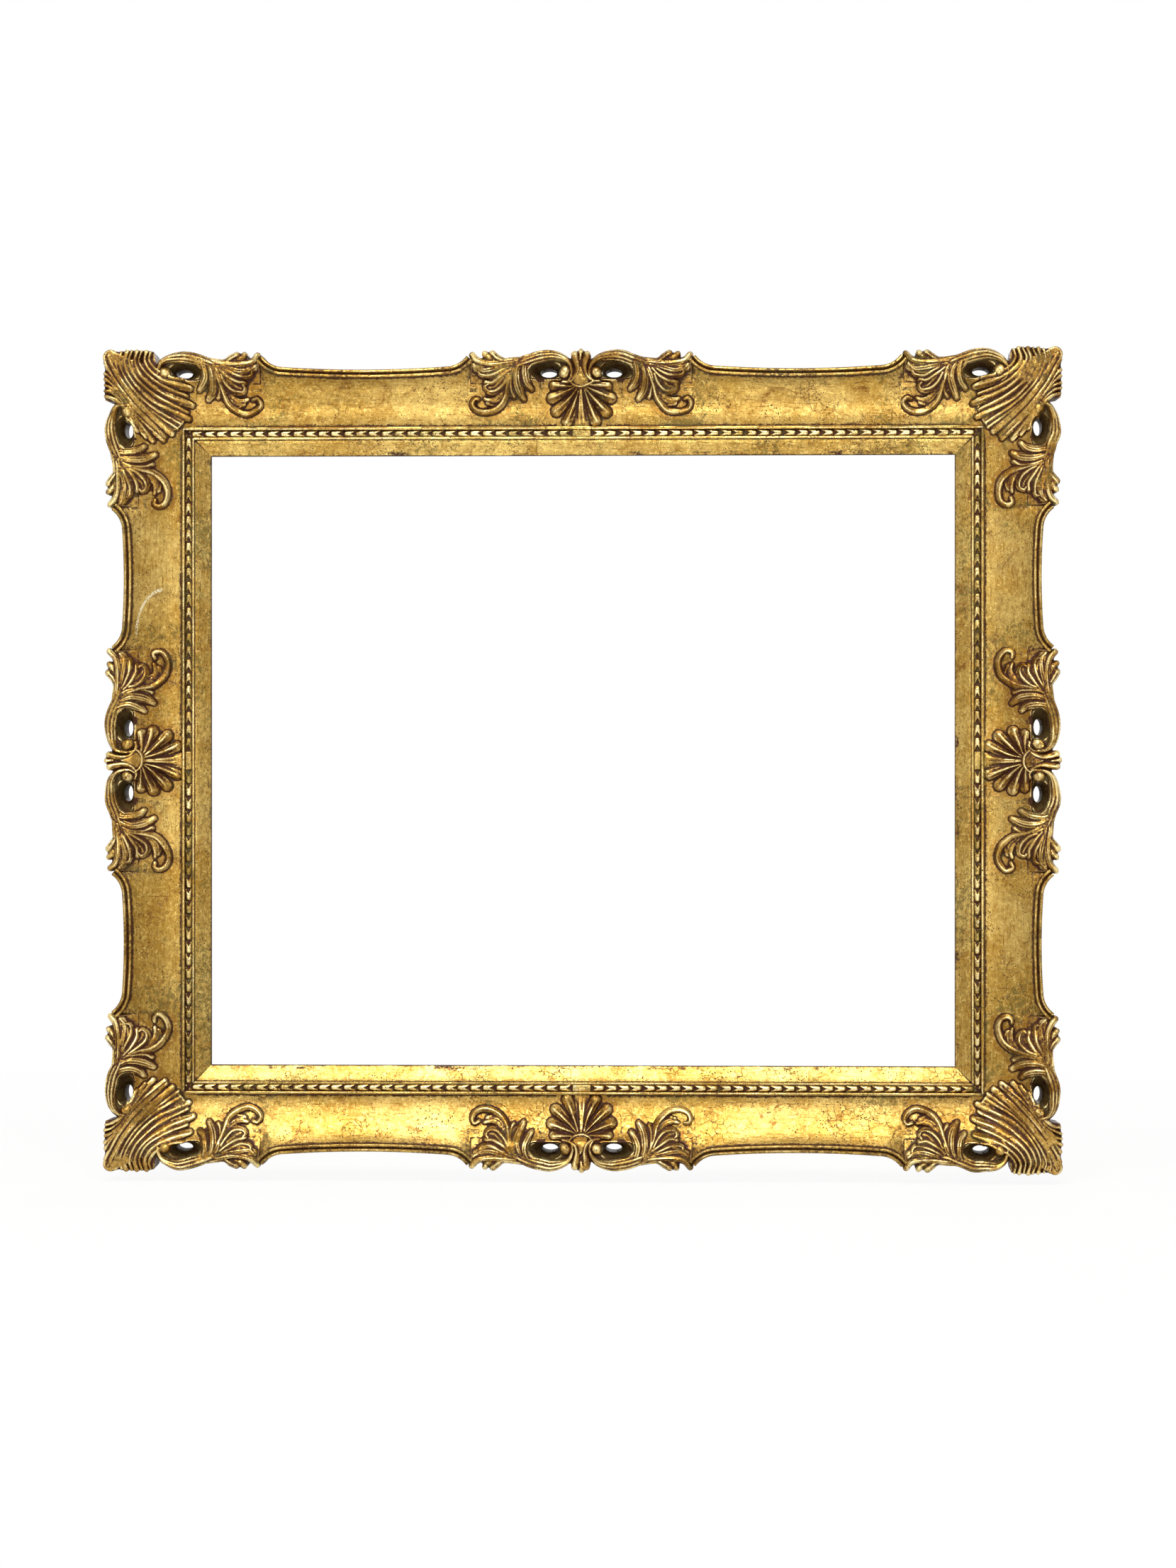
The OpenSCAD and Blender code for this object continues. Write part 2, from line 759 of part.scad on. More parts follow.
hanger_screws(1);  // hanger_screws_right
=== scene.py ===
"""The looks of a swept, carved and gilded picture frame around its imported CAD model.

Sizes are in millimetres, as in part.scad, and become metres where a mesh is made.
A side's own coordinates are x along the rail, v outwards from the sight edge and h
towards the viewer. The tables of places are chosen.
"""

import math

import bmesh
import bpy
import numpy as np
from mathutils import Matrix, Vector


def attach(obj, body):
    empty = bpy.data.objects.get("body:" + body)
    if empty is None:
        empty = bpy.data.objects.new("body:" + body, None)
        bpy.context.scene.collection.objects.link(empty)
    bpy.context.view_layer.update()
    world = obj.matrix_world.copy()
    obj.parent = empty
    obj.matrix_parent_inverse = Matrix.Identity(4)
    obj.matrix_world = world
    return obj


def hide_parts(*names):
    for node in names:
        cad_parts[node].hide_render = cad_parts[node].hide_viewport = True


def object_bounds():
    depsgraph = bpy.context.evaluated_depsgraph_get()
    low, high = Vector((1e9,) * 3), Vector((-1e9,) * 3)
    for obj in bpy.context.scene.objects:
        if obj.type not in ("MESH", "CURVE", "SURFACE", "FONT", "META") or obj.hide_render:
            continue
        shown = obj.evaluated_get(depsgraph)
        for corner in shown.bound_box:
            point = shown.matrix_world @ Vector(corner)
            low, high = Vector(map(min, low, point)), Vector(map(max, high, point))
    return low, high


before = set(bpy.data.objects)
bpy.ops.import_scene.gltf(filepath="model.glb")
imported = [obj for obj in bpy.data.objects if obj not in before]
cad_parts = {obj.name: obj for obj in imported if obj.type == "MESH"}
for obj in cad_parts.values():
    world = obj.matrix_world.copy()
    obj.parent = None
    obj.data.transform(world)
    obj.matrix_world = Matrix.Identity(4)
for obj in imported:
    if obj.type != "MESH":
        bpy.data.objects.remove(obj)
CAD_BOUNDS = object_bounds()
MM = 0.001

# Sizes of part.scad
SIGHT_W, SIGHT_H = 600.0, 492.0
REACH = 84.0
COVE_IN, COVE_OUT, COVE_LOW, COVE_HIGH, COVE_R = 23.0, 60.0, 23.0, 40.0, 46.0
PLANK_W, PLANK_T = 70.0, 15.0
REBATE_W, REBATE_D = 6.0, 12.0
RIM_V, RIM_HALF, RIM_H, RIM_BEAD_H = 64.0, 3.4, 42.6, 1.8
SWEEP_END_R, SWEEP_END_TURN, SWEEP_MID_TURN, SWEEP_RISE = 24.0, 50.0, 4.0, 13.0
SPRAY_L, CENTRE_BALL_U, CORNER_BALL_S = 76.0, 13.0, 50.0
SLOPE_W, STEP_W = 12.7, 2.0
LEAF_W, LEAF_RISE, LEAF_PITCH, LEAF_BAR_L = 5.6, 2.0, 10.2, 16.0
CARVE_BASE = 8.2

# Sizes worked out from them
CENTRE_END_U = CENTRE_BALL_U + SPRAY_L
CORNER_BALL_A = CORNER_BALL_S - REACH
CORNER_END_A = CORNER_BALL_A + SPRAY_L
COVE_CHORD = math.hypot(COVE_OUT - COVE_IN, COVE_HIGH - COVE_LOW)
COVE_BACK = math.sqrt(COVE_R ** 2 - COVE_CHORD ** 2 / 4)
COVE_CV = (COVE_IN + COVE_OUT) / 2 - COVE_BACK * (COVE_HIGH - COVE_LOW) / COVE_CHORD
COVE_CH = (COVE_LOW + COVE_HIGH) / 2 + COVE_BACK * (COVE_OUT - COVE_IN) / COVE_CHORD

# Sizes of the scene alone: from where the cove is drawn out and over which length, the
# spacing of the carving's grid, and the gap that lets the keys and straps show on the back
PULL_V, DRAW_RUN = 38.0, 26.0
GRID = 0.45
BACK_H = 0.08

SIDES = ("top", "left", "bottom", "right")
CORNERS = ("top_left", "bottom_left", "bottom_right", "top_right")
# How much green-grey patina lies on each side, with more on the left and right, which also paints
# them darker as painted shade
PATINA_AND_SIDE_SHADE_SHARE = (0.1, 0.5, 0.1, 0.42)


# Places

def span(side):
    """Length of a side's sight edge."""
    return SIGHT_W if side % 2 == 0 else SIGHT_H


def side_to_world(side):
    """Returns the map from a side's own x, v, h to world metres."""
    turn = math.radians(90 * side)
    c, s = math.cos(turn), math.sin(turn)

    def place(x, v, h):
        y = span(side + 1) / 2 + v
        return np.stack([x * c - y * s, -h, x * s + y * c], -1) * MM

    return place


def corner_to_world(corner):
    """Returns the map from a corner's own x, y, h, with the sight corner at 0, 0."""
    sx = -1 if corner in (0, 1) else 1
    sz = 1 if corner in (0, 3) else -1

    def place(x, y, h):
        return np.stack([sx * (SIGHT_W / 2 - x), -h, sz * (SIGHT_H / 2 + y)], -1) * MM

    return place, sx * sz > 0


def unit(value):
    """The value kept between 0 and 1."""
    return np.clip(value, 0, 1)


def cove_h(v):
    """Height of the cove at distance v from the sight edge."""
    v = np.clip(v, COVE_IN, COVE_OUT)
    return COVE_CH - np.sqrt(COVE_R ** 2 - (v - COVE_CV) ** 2)


def pull(v):
    """Share of the outer edge's move that the cove follows at v."""
    return unit((v - PULL_V) / (COVE_OUT - PULL_V)) ** 2


def stretched(v, more):
    """Place on the plain cove that lies at v once the outer edge is moved by more."""
    low, high = np.full(np.shape(v + more), COVE_IN), np.full(np.shape(v + more), COVE_OUT)
    for _ in range(16):
        mid = (low + high) / 2
        short = mid + more * pull(mid) < v
        low, high = np.where(short, mid, low), np.where(short, high, mid)
    return (low + high) / 2


def drawn_out(gap):
    """How far the cove is drawn out under an ornament, at a gap from the sweep."""
    t = unit(1 - gap / DRAW_RUN)
    return SWEEP_RISE * t * t * (3 - 2 * t)


def sweep_half(side):
    """Half the length of a rail's sweep."""
    return (span(side) / 2 - CORNER_END_A - CENTRE_END_U) / 2


def sweep_line(side):
    """The rim's middle line: arrays of x from the sweep's middle, v and heading."""
    half, small = sweep_half(side), SWEEP_END_R
    mid, whole = math.radians(SWEEP_MID_TURN), math.radians(SWEEP_MID_TURN + SWEEP_END_TURN)
    big = small + (half - small * math.sin(whole)) / math.sin(mid)
    turns = np.concatenate([np.linspace(-whole, -mid, 22), np.linspace(-mid, mid, 26)[1:-1],
                            np.linspace(mid, whole, 22)])
    sign, size = np.sign(turns), np.abs(turns)
    inner = size <= mid
    x = np.where(inner, big * np.sin(turns),
                 sign * ((big - small) * math.sin(mid) + small * np.sin(size)))
    v = np.where(inner, RIM_V + big * (1 - np.cos(turns)),
                 RIM_V + big - (big - small) * math.cos(mid) - small * np.cos(turns))
    return x, v, turns


# Meshes

def blur(field, sigma):
    """Gaussian blur along every axis, with the edges repeated."""
    reach = max(1, int(3 * sigma))
    kernel = np.exp(-0.5 * (np.arange(-reach, reach + 1) / sigma) ** 2)
    kernel /= kernel.sum()
    for axis in range(field.ndim):
        pad = [(reach, reach) if a == axis else (0, 0) for a in range(field.ndim)]
        wide = np.pad(field, pad, mode="edge")
        field = np.apply_along_axis(lambda row: np.convolve(row, kernel, "valid"), axis, wide)
    return field


def smooth_noise(shape, sigma, rng):
    """Noise of unit spread, smoothed over sigma cells."""
    field = blur(rng.standard_normal(shape), sigma)
    return field / (field.std() + 1e-9)


def new_object(name, data):
    """A new object in the scene."""
    thing = bpy.data.objects.new(name, data)
    bpy.context.scene.collection.objects.link(thing)
    return thing


def make_piece(name, points, faces, tone, sharp, run=()):
    """Makes a mesh object that rides on the frame, with its tone kept as a vertex colour.

    The tone's parts are dark with painted shade, wear with painted highlights, and patina. run
    holds the places along and across a rail, in mm, for marks that follow it.
    """
    mesh = bpy.data.meshes.new(name)
    mesh.vertices.add(len(points))
    # A tip that the uneven carving pushes past the CAD box is trimmed to it.
    points = np.clip(points, CAD_BOUNDS[0], CAD_BOUNDS[1])
    mesh.vertices.foreach_set("co", points.astype(np.float32).ravel())
    mesh.loops.add(faces.size)
    mesh.loops.foreach_set("vertex_index", faces.astype(np.int32).ravel())
    mesh.polygons.add(len(faces))
    starts = np.arange(0, faces.size, faces.shape[1], dtype=np.int32)
    mesh.polygons.foreach_set("loop_start", starts)
    mesh.update(calc_edges=True)
    rgba = np.ones((len(points), 4), np.float32)
    rgba[:, :3] = unit(tone)
    colour = mesh.color_attributes.new("Tone", "FLOAT_COLOR", "POINT")
    colour.data.foreach_set("color", rgba.ravel())
    for key, values in zip(("Along", "Across"), run):
        place = mesh.attributes.new(key, "FLOAT", "POINT")
        place.data.foreach_set("value", np.asarray(values, np.float32).ravel())
    mesh.polygons.foreach_set("use_smooth", np.ones(len(faces), bool))
    mesh.validate()
    piece = new_object(name, mesh)
    mesh.set_sharp_from_angle(angle=math.radians(sharp))
    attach(piece, "frame")
    return piece


# Reach of a grid's border, which counts as outside so that the wall goes all the way
# round, and the least share of a cell that a cut leaves
BORDER_REACH, LEAST_CUT = -0.02, 0.08


def relief(xs, ys, top, inside, bottom):
    """Cuts a height field where inside is positive and closes it below.

    Returns x, y, h of the points, the triangles, and a function that reads another
    field at the points of the front.
    """
    inside = inside.copy()
    inside[[0, -1]] = np.minimum(inside[[0, -1]], BORDER_REACH)
    inside[:, [0, -1]] = np.minimum(inside[:, [0, -1]], BORDER_REACH)
    flat, count = inside.ravel(), inside.size
    within = flat > 0
    index = np.arange(count).reshape(inside.shape)
    a, b = index[:-1, :-1].ravel(), index[1:, :-1].ravel()
    c, d = index[1:, 1:].ravel(), index[:-1, 1:].ravel()
    triangles = np.concatenate([np.stack([a, b, c], 1), np.stack([a, c, d], 1)])
    score = within[triangles].sum(1)

    def odd_first(rows, odd):
        """Rolls each triangle so that its odd corner comes first."""
        order = (np.arange(3) + odd[rows].argmax(1)[:, None]) % 3
        return np.take_along_axis(rows, order, 1)

    one = odd_first(triangles[score == 1], within)
    two = odd_first(triangles[score == 2], ~within)
    # The points where the cut crosses the grid's edges, each once
    ends = np.concatenate([one[:, [0, 1]], one[:, [0, 2]], two[:, [1, 0]], two[:, [2, 0]]])
    keys, where = np.unique(ends[:, 0] * count + ends[:, 1], return_inverse=True)
    where = where.ravel() + count
    from_, to = keys // count, keys % count
    share = np.clip(flat[from_] / (flat[from_] - flat[to]), LEAST_CUT, 1.0)
    e1, e2, e3, e4 = np.split(where, np.cumsum([len(one), len(one), len(two)]))
    faces = np.concatenate([
        triangles[score == 3], np.stack([one[:, 0], e1, e2], 1),
        np.stack([two[:, 1], two[:, 2], e4], 1), np.stack([two[:, 1], e4, e3], 1)])
    rim = np.concatenate([np.stack([e1, e2], 1), np.stack([e4, e3], 1)])
    # Points that no face uses are left out.
    used = np.unique(faces)
    renumber = np.full(count + len(keys), -1)
    renumber[used] = np.arange(len(used))
    faces, rim = renumber[faces], renumber[rim]
    first = np.concatenate([np.arange(count), from_])[used]
    second = np.concatenate([np.arange(count), to])[used]
    weight = np.concatenate([np.zeros(count), share])[used]

    def read(field):
        field = field.ravel()
        return field[first] * (1 - weight) + field[second] * weight

    x, y = [read(axis) for axis in np.meshgrid(xs, ys, indexing="ij")]
    # A cut edge keeps the height of the grid point that lies inside.
    high, low = top.ravel()[first], read(bottom)
    n = len(used)
    wall = np.concatenate([
        np.stack([rim[:, 0] + n, rim[:, 1] + n, rim[:, 1]], 1),
        np.stack([rim[:, 0] + n, rim[:, 1], rim[:, 0]], 1)])
    under = faces[:, ::-1] + n
    return (np.concatenate([x, x]), np.concatenate([y, y]), np.concatenate([high, low]),
            np.concatenate([faces, wall, under]), read)


def close_ends(piece, rings):
    """Adds one face over each open end of a loft."""
    mesh = piece.data
    bm = bmesh.new()
    bm.from_mesh(mesh)
    bm.verts.ensure_lookup_table()
    new = [bm.faces.new([bm.verts[i] for i in ring]) for ring in rings]
    bmesh.ops.triangulate(bm, faces=new)
    bmesh.ops.dissolve_degenerate(bm, dist=1e-6, edges=bm.edges[:])
    bmesh.ops.recalc_face_normals(bm, faces=bm.faces[:])
    bm.to_mesh(mesh)
    bm.free()


def whole_rings(right):
    """Arrays of x, v and h of a side's rings, from those of its right half."""
    left = [(-x, v, h) for x, v, h in reversed(right)]
    return np.array(left + right[1:]).transpose(1, 0, 2)


def make_loft(name, side, rings, tones, sharp):
    """A closed loft through a side's rings, in quads that face outwards."""
    x, v, h = rings
    n, m = x.shape
    i, j = np.arange(n - 1)[:, None] * m, np.arange(m)[None, :]
    k = (j + 1) % m
    faces = np.stack([i + j, i + k, i + m + k, i + m + j], -1).reshape(-1, 4)
    points = side_to_world(side)(x, v, h).reshape(-1, 3)
    tone = np.stack(tones, -1).reshape(-1, 3)
    piece = make_piece(name + SIDES[side], points, faces, tone, sharp, run=(x, v))
    close_ends(piece, [list(range(m)), [(n - 1) * m + j for j in reversed(range(m))]])
    return piece


# Carving

def curve(points, step=0.8):
    """A smooth line through points, as places about step apart, and their share of it."""
    wide = np.vstack([2 * points[0] - points[1], points, 2 * points[-1] - points[-2]])
    out = []
    for p0, p1, p2, p3 in zip(wide, wide[1:], wide[2:], wide[3:]):
        n = max(2, int(np.linalg.norm(p2 - p1) / step))
        t = np.linspace(0, 1, n, endpoint=False)[:, None]
        out.append(0.5 * (2 * p1 + (p2 - p0) * t + (2 * p0 - 5 * p1 + 4 * p2 - p3) * t ** 2
                          + (3 * p1 - p0 - 3 * p2 + p3) * t ** 3))
    out.append(points[-1:])
    line = np.vstack(out)
    run = np.concatenate([[0], np.cumsum(np.linalg.norm(np.diff(line, axis=0), axis=1))])
    return line, run / max(run[-1], 1e-9)


def table_at(values, t):
    """Values given at even steps from 0 to 1, read at t."""
    return np.interp(t, np.linspace(0, 1, len(values)), values)


# The hollow and the hole inside a scroll: radii, depth, places from the ball, and the
# outline that the hollow stays in
WELL_RADII, HOLE_RADII, WELL_DEPTH = (11.4, 7.4), (6.6, 3.5), 13.0
WELL_X, WELL_V, HOLE_X, HOLE_V = 15.4, 66.2, 13.4, 65.4
WELL_OUTLINE = [(-3, 60), (-6, 66), (-4, 74), (4, 78), (20, 77), (29, 73), (31, 65), (30, 60)]
# Reach of a grid point that no stroke comes near
FAR_OUT = -9.0


class Carving:
    """A relief built from strokes: its height over the ground and how far it reaches."""

    def __init__(self, x0, x1, y0, y1, rng):
        self.xs = np.arange(x0, x1 + GRID, GRID)
        self.ys = np.arange(y0, y1 + GRID, GRID)
        self.gx, self.gy = np.meshgrid(self.xs, self.ys, indexing="ij")
        self.lift, self.crease, self.cavity = np.zeros((3,) + self.gx.shape)
        self.reach = np.full(self.gx.shape, FAR_OUT)
        self.rng = rng

    def nearest(self, line, run, margin):
        """Where the grid lies near a line: its box, distance, place along it and side."""
        box = ((self.gx > line[:, 0].min() - margin) & (self.gx < line[:, 0].max() + margin)
               & (self.gy > line[:, 1].min() - margin) & (self.gy < line[:, 1].max() + margin))
        px, py = self.gx[box], self.gy[box]
        best = np.full(len(px), np.inf)
        t, side = np.zeros(len(px)), np.zeros(len(px))
        for a, b, start, end in zip(line, line[1:], run, run[1:]):
            d = b - a
            s = unit(((px - a[0]) * d[0] + (py - a[1]) * d[1]) / (d @ d + 1e-12))
            qx, qy = px - a[0] - s * d[0], py - a[1] - s * d[1]
            dist = np.hypot(qx, qy)
            near = dist < best
            best[near] = dist[near]
            t[near] = (start + s * (end - start))[near]
            side[near] = np.sign(d[0] * qy - d[1] * qx)[near]
        return box, best, t, side

    def stroke(self, points, widths, lifts, edge=0.34, power=1.0, lean=0.0, ridge=0.5,
               flutes=0, flute_depth=1.0, jitter=0.3):
        """Lays one stroke: half widths and lifts at even steps, in mm.

        edge is the height at its sides as a share of its crest, power shapes the
        section (1 is round, more is flatter), lean moves the crest sideways, ridge
        sharpens it, and flutes are the grooves that run along it.
        """
        points = np.asarray(points, float)
        line, run = curve(points + self.rng.normal(0, jitter, points.shape))
        box, best, t, side = self.nearest(line, run, max(widths) + 1.6)
        width = table_at(widths, t)
        q = unit(best / width)
        across = side * q
        bent = unit(np.abs(across - lean) / (1 + np.abs(lean) * np.where(
            across > lean, -1, 1) * np.sign(lean + 1e-9)))
        shape = np.sqrt(unit(1 - bent ** (2 * power))) * (1 - ridge) + (1 - bent) * ridge
        height = table_at(lifts, t) * (edge + (1 - edge) * shape)
        if flutes:
            wave = 0.5 - 0.5 * np.cos(math.pi * flutes * (across + 1))
            fade = unit((1 - t) * 5) * unit(t * 8)
            height = height - flute_depth * wave * fade * unit((1 - q) * 4)
        inside = best < width
        old, crease = self.lift[box], self.crease[box]
        higher = inside & (height > old)
        # Painted shade runs in the crease where two strokes meet, and beside the higher one.
        meet = np.exp(-np.abs(height - old) / 0.7) * inside * (old > 0.3)
        crease = np.maximum(crease * np.where(higher, 0.3, 1), meet * 0.8)
        self.crease[box] = np.where(higher, np.maximum(crease, q ** 5 * 0.5), crease)
        self.lift[box] = np.where(higher, height, old)
        self.reach[box] = np.maximum(self.reach[box], width - best)

    def field(self, outline):
        """Distance to an outline, positive inside it."""
        outline = np.asarray(outline, float)
        far = np.full(self.gx.shape, np.inf)
        inside = np.zeros(self.gx.shape, bool)
        for p, q in zip(outline, np.roll(outline, -1, 0)):
            d = q - p
            s = unit(((self.gx - p[0]) * d[0] + (self.gy - p[1]) * d[1]) / (d @ d))
            far = np.minimum(far, np.hypot(self.gx - p[0] - s * d[0],
                                           self.gy - p[1] - s * d[1]))
            hit = (p[1] > self.gy) != (q[1] > self.gy)
            cross = p[0] + (self.gy - p[1]) * d[0] / (d[1] if d[1] else 1e-9)
            inside ^= hit & (self.gx < cross)
        return np.where(inside, far, -far)

    def ground(self, outline, lift, shade=0.5):
        """Adds flat ground inside an outline, with painted shade that deepens over its first 4 mm
        inside.
        """
        field = self.field(outline)
        self.reach = np.maximum(self.reach, field)
        low = (field > 0) & (self.lift <= lift)
        self.lift[low] = lift
        self.crease[low] = shade * unit(field[low] / 4)

    def join(self, size=1.2, share=0.42):
        """Fills the narrow gaps between strokes, so that they become grooves full of painted
        shade.
        """
        solid = (self.reach > 0).astype(float)
        near = blur(solid, size / GRID)
        fill = (near > 0.5) & (self.reach <= 0)
        level = blur(self.lift * solid, size / GRID) / np.maximum(near, 0.05)
        self.lift[fill] = level[fill] * share
        self.crease[fill] = 1.0
        self.reach = np.maximum(self.reach, (near - 0.5) * 3.0)

    def well(self, outline, places, angle):
        """Opens the hole inside a scroll, with the hollow that leads down to it and painted shade
        over the hollow.

        places holds the middles of the hollow and of the hole, and angle turns both.
        """
        c, s = math.cos(angle), math.sin(angle)

        def far(middle, radii):
            dx, dy = self.gx - middle[0], self.gy - middle[1]
            return np.hypot((dx * c + dy * s) / radii[0], (dy * c - dx * s) / radii[1])

        bowl, hole = far(places[0], WELL_RADII), far(places[1], HOLE_RADII)
        free = (self.field(outline) > 0) & ((self.reach <= 0) | (self.lift < 2.0))
        down = unit((1.15 - bowl) / (np.maximum(1.15 - bowl, 0)
                                     + np.maximum(hole - 1, 0) * 0.45 + 1e-6))
        self.lift[free] = (-0.5 - WELL_DEPTH * down ** 1.2)[free]
        self.reach[free] = ((hole - 1) * min(HOLE_RADII))[free]
        self.crease[free] = (0.7 - 0.35 * down)[free]
        self.cavity[free] = 1.0


# The strokes of a leaf spray: x from the ball and v from the sight edge, then half
# widths, lifts and the section. The outermost point of the rim's peak is at x = 76.
SPRAY = [
    # the body of the leaves, under their fingers
    ([(23, 77), (32, 72), (38.6, 66), (42, 57), (42.6, 49)],
     [3.4, 5.8, 7, 6.2, 3.2], [5.4, 5, 4.4, 3.8, 2.8], dict(edge=0.6, flutes=5)),
    ([(38, 72), (50, 69), (61, 66.6), (71, 69)],
     [4.5, 6.8, 6.4, 3.4], [5.6, 5.4, 5.2, 4.6], dict(edge=0.6, flutes=4)),
    ([(44, 67), (49.6, 58.6), (56, 53), (61.6, 52.4)],
     [4.5, 6, 5.2, 2.4], [5, 4.8, 4.4, 3.6], dict(edge=0.6, flutes=3)),
    ([(46, 58), (49, 48.6), (55, 42.6), (62, 41.6)],
     [3, 4.6, 4.2, 2.2], [4.2, 4, 3.8, 3], dict(edge=0.6, flutes=2)),
    # leaves that droop from the scroll over the cove
    ([(27, 77), (31.6, 70.4), (32.4, 62.5), (30.4, 56), (26.8, 52)],
     [2.4, 3.3, 3.7, 3.5, 2.2], [4.4, 6.2, 6.4, 5.4, 3.8], dict(flutes=3, lean=-0.2)),
    ([(37, 73), (42, 66.4), (44, 58.6), (43.4, 51), (41.2, 46)],
     [2.2, 2.9, 3.3, 3.1, 1.9], [4.2, 6.2, 6, 5, 3.4], dict(flutes=2, lean=0.3)),
    ([(32, 75), (37.4, 67.6), (38.8, 60), (37.2, 51.4), (33.4, 44.6)],
     [2.4, 3.5, 4.2, 4.2, 2.4], [4.4, 6.6, 6.7, 5.6, 3.8], dict(flutes=4, lean=-0.15)),
    # the inner fingers of the large leaf
    ([(46, 59), (48.6, 50.8), (53, 45.4), (59, 43.2), (65, 44.6)],
     [2.2, 2.8, 2.9, 2.6, 1.6], [4.8, 5, 4.8, 4.6, 3.6], dict(flutes=1)),
    ([(45.4, 63), (48.6, 56.4), (54.4, 51.2), (60.6, 50.6), (63.6, 53.6), (61.8, 56)],
     [2.6, 3.5, 3.7, 3.1, 2.2, 1.4], [5.8, 6.2, 6.2, 5.8, 5.4, 4.8], dict(flutes=2)),
    ([(44, 67), (50.6, 61.6), (57.4, 57.8), (63.6, 57.6)],
     [2.4, 3.1, 3.1, 1.9], [5.8, 6.2, 5.8, 4.6], dict(flutes=2, lean=0.3)),
    # the large leaf that turns up in a hook
    ([(39.6, 71), (43, 62.6), (45.2, 55.5), (47.4, 47.1), (50.6, 41.1), (57, 35.8), (65.4, 33.6),
      (72.4, 36.2), (75, 40.8), (73.2, 44.8), (69.4, 44.2)],
     [2.6, 2.8, 2.8, 2.7, 2.8, 2.9, 2.7, 2.5, 2.3, 2.1, 1.6],
     [4, 5.8, 5.8, 5.4, 5, 4.8, 4.8, 5, 5.4, 5.6, 5], dict(lean=-0.35)),
    # the strands that run out to the peak beside the sweep
    ([(43, 70), (52, 65.4), (60, 62.4), (67.6, 63), (69, 66)],
     [2.6, 3.4, 3.4, 2.4, 1.4], [4.4, 6.2, 6.2, 5.4, 4.8], dict(flutes=2)),
    ([(40, 72), (50, 69.4), (60, 66.8), (67.6, 67), (73, 70.6)],
     [2.8, 3.6, 3.6, 3, 2], [4.6, 6.4, 6.4, 6, 5], dict(flutes=3)),
    ([(34, 74), (44, 72.6), (54, 71.8), (63, 72.2), (70, 74.2), (74.4, 78.4)],
     [3.4, 3.7, 3.8, 3.5, 3, 2.6], [4.8, 6.4, 6.9, 7, 6.9, 6], dict(flutes=4, lean=0.2)),
    ([(48.6, 73.6), (53.6, 76.2), (57.6, 79.2)], [2, 3.3, 2.9], [5, 7, 6.2], dict(flutes=2)),
    ([(56.4, 74.6), (61.4, 76.4), (64.2, 79.2)], [1.8, 2.8, 2.4], [5, 6.9, 6], dict(flutes=1)),
    # the scroll round the hole, with the grooves that run along it
    ([(-2, 57.4), (-5, 60.6), (-5.8, 66.4), (-3.4, 72.8), (2.6, 76.6), (11, 78), (19.6, 77.2),
      (27.6, 75), (35.6, 72), (43, 69)],
     [1.2, 1.7, 2.1, 2.8, 3.9, 4.7, 5, 4.8, 4.2, 3],
     [4.6, 5.8, 6.4, 6.9, 7.2, 7.2, 7.1, 6.9, 6.4, 5],
     dict(flutes=3, flute_depth=1.1, lean=0.3, edge=0.3)),
    # the ball
    ([(-0.8, 65.2), (0.4, 64.2)], [4.5, 4.5], [6.8, 6.6], dict(edge=0.12, ridge=0.1)),
]
# The ground that joins the leaves outside the cove
SPRAY_GROUND = [(31, 58), (75.8, 57), (75.8, 73.6), (70, 71), (48, 70), (34, 69)]

# The column over the shell, its strand on the right, and the ground behind it
COLUMN = [
    ([(0, 55), (0, 66), (0, 78)], [4.4, 4.2, 3.4], [2.6, 2.8, 3.4], {}),
    ([(0, 68.4), (0, 62), (0, 57.6)], [0.8, 2.9, 6.4], [5.2, 5.6, 5.2], dict(edge=0.75, ridge=0)),
    ([(-9.4, 58), (-5.2, 54.6), (0, 53.4), (5.2, 54.6), (9.4, 58)],
     [1.1, 1.5, 1.5, 1.5, 1.1], [6.2, 6.2, 6.2, 6.2, 6.2], {}),
    ([(0, 81.4), (0, 75.6)], [2.2, 1.4], [6.8, 5.6], {}),
]
COLUMN_STRAND = [
    ([(4.7, 78.6), (3.6, 73.6), (3, 67.5), (5.2, 61.2), (9.8, 57.8), (14.6, 57.8)],
     [3, 2.7, 2.2, 2.1, 1.8, 1.3], [7.2, 7, 6.8, 6.6, 5.8, 4.2], dict(lean=0.25, flutes=1)),
]
COLUMN_GROUND = [(-12, 57), (12, 57), (10, 70), (4, 80), (-4, 80), (-10, 70)]
# Ends of the shell's ribs on one side: x, v, then the half width at the end
SHELL_ENDS = [(0, 24.6, 6.4), (11.4, 26.6, 4.9), (20, 34.6, 5), (23.6, 45, 4.8), (21.8, 54, 3.8)]

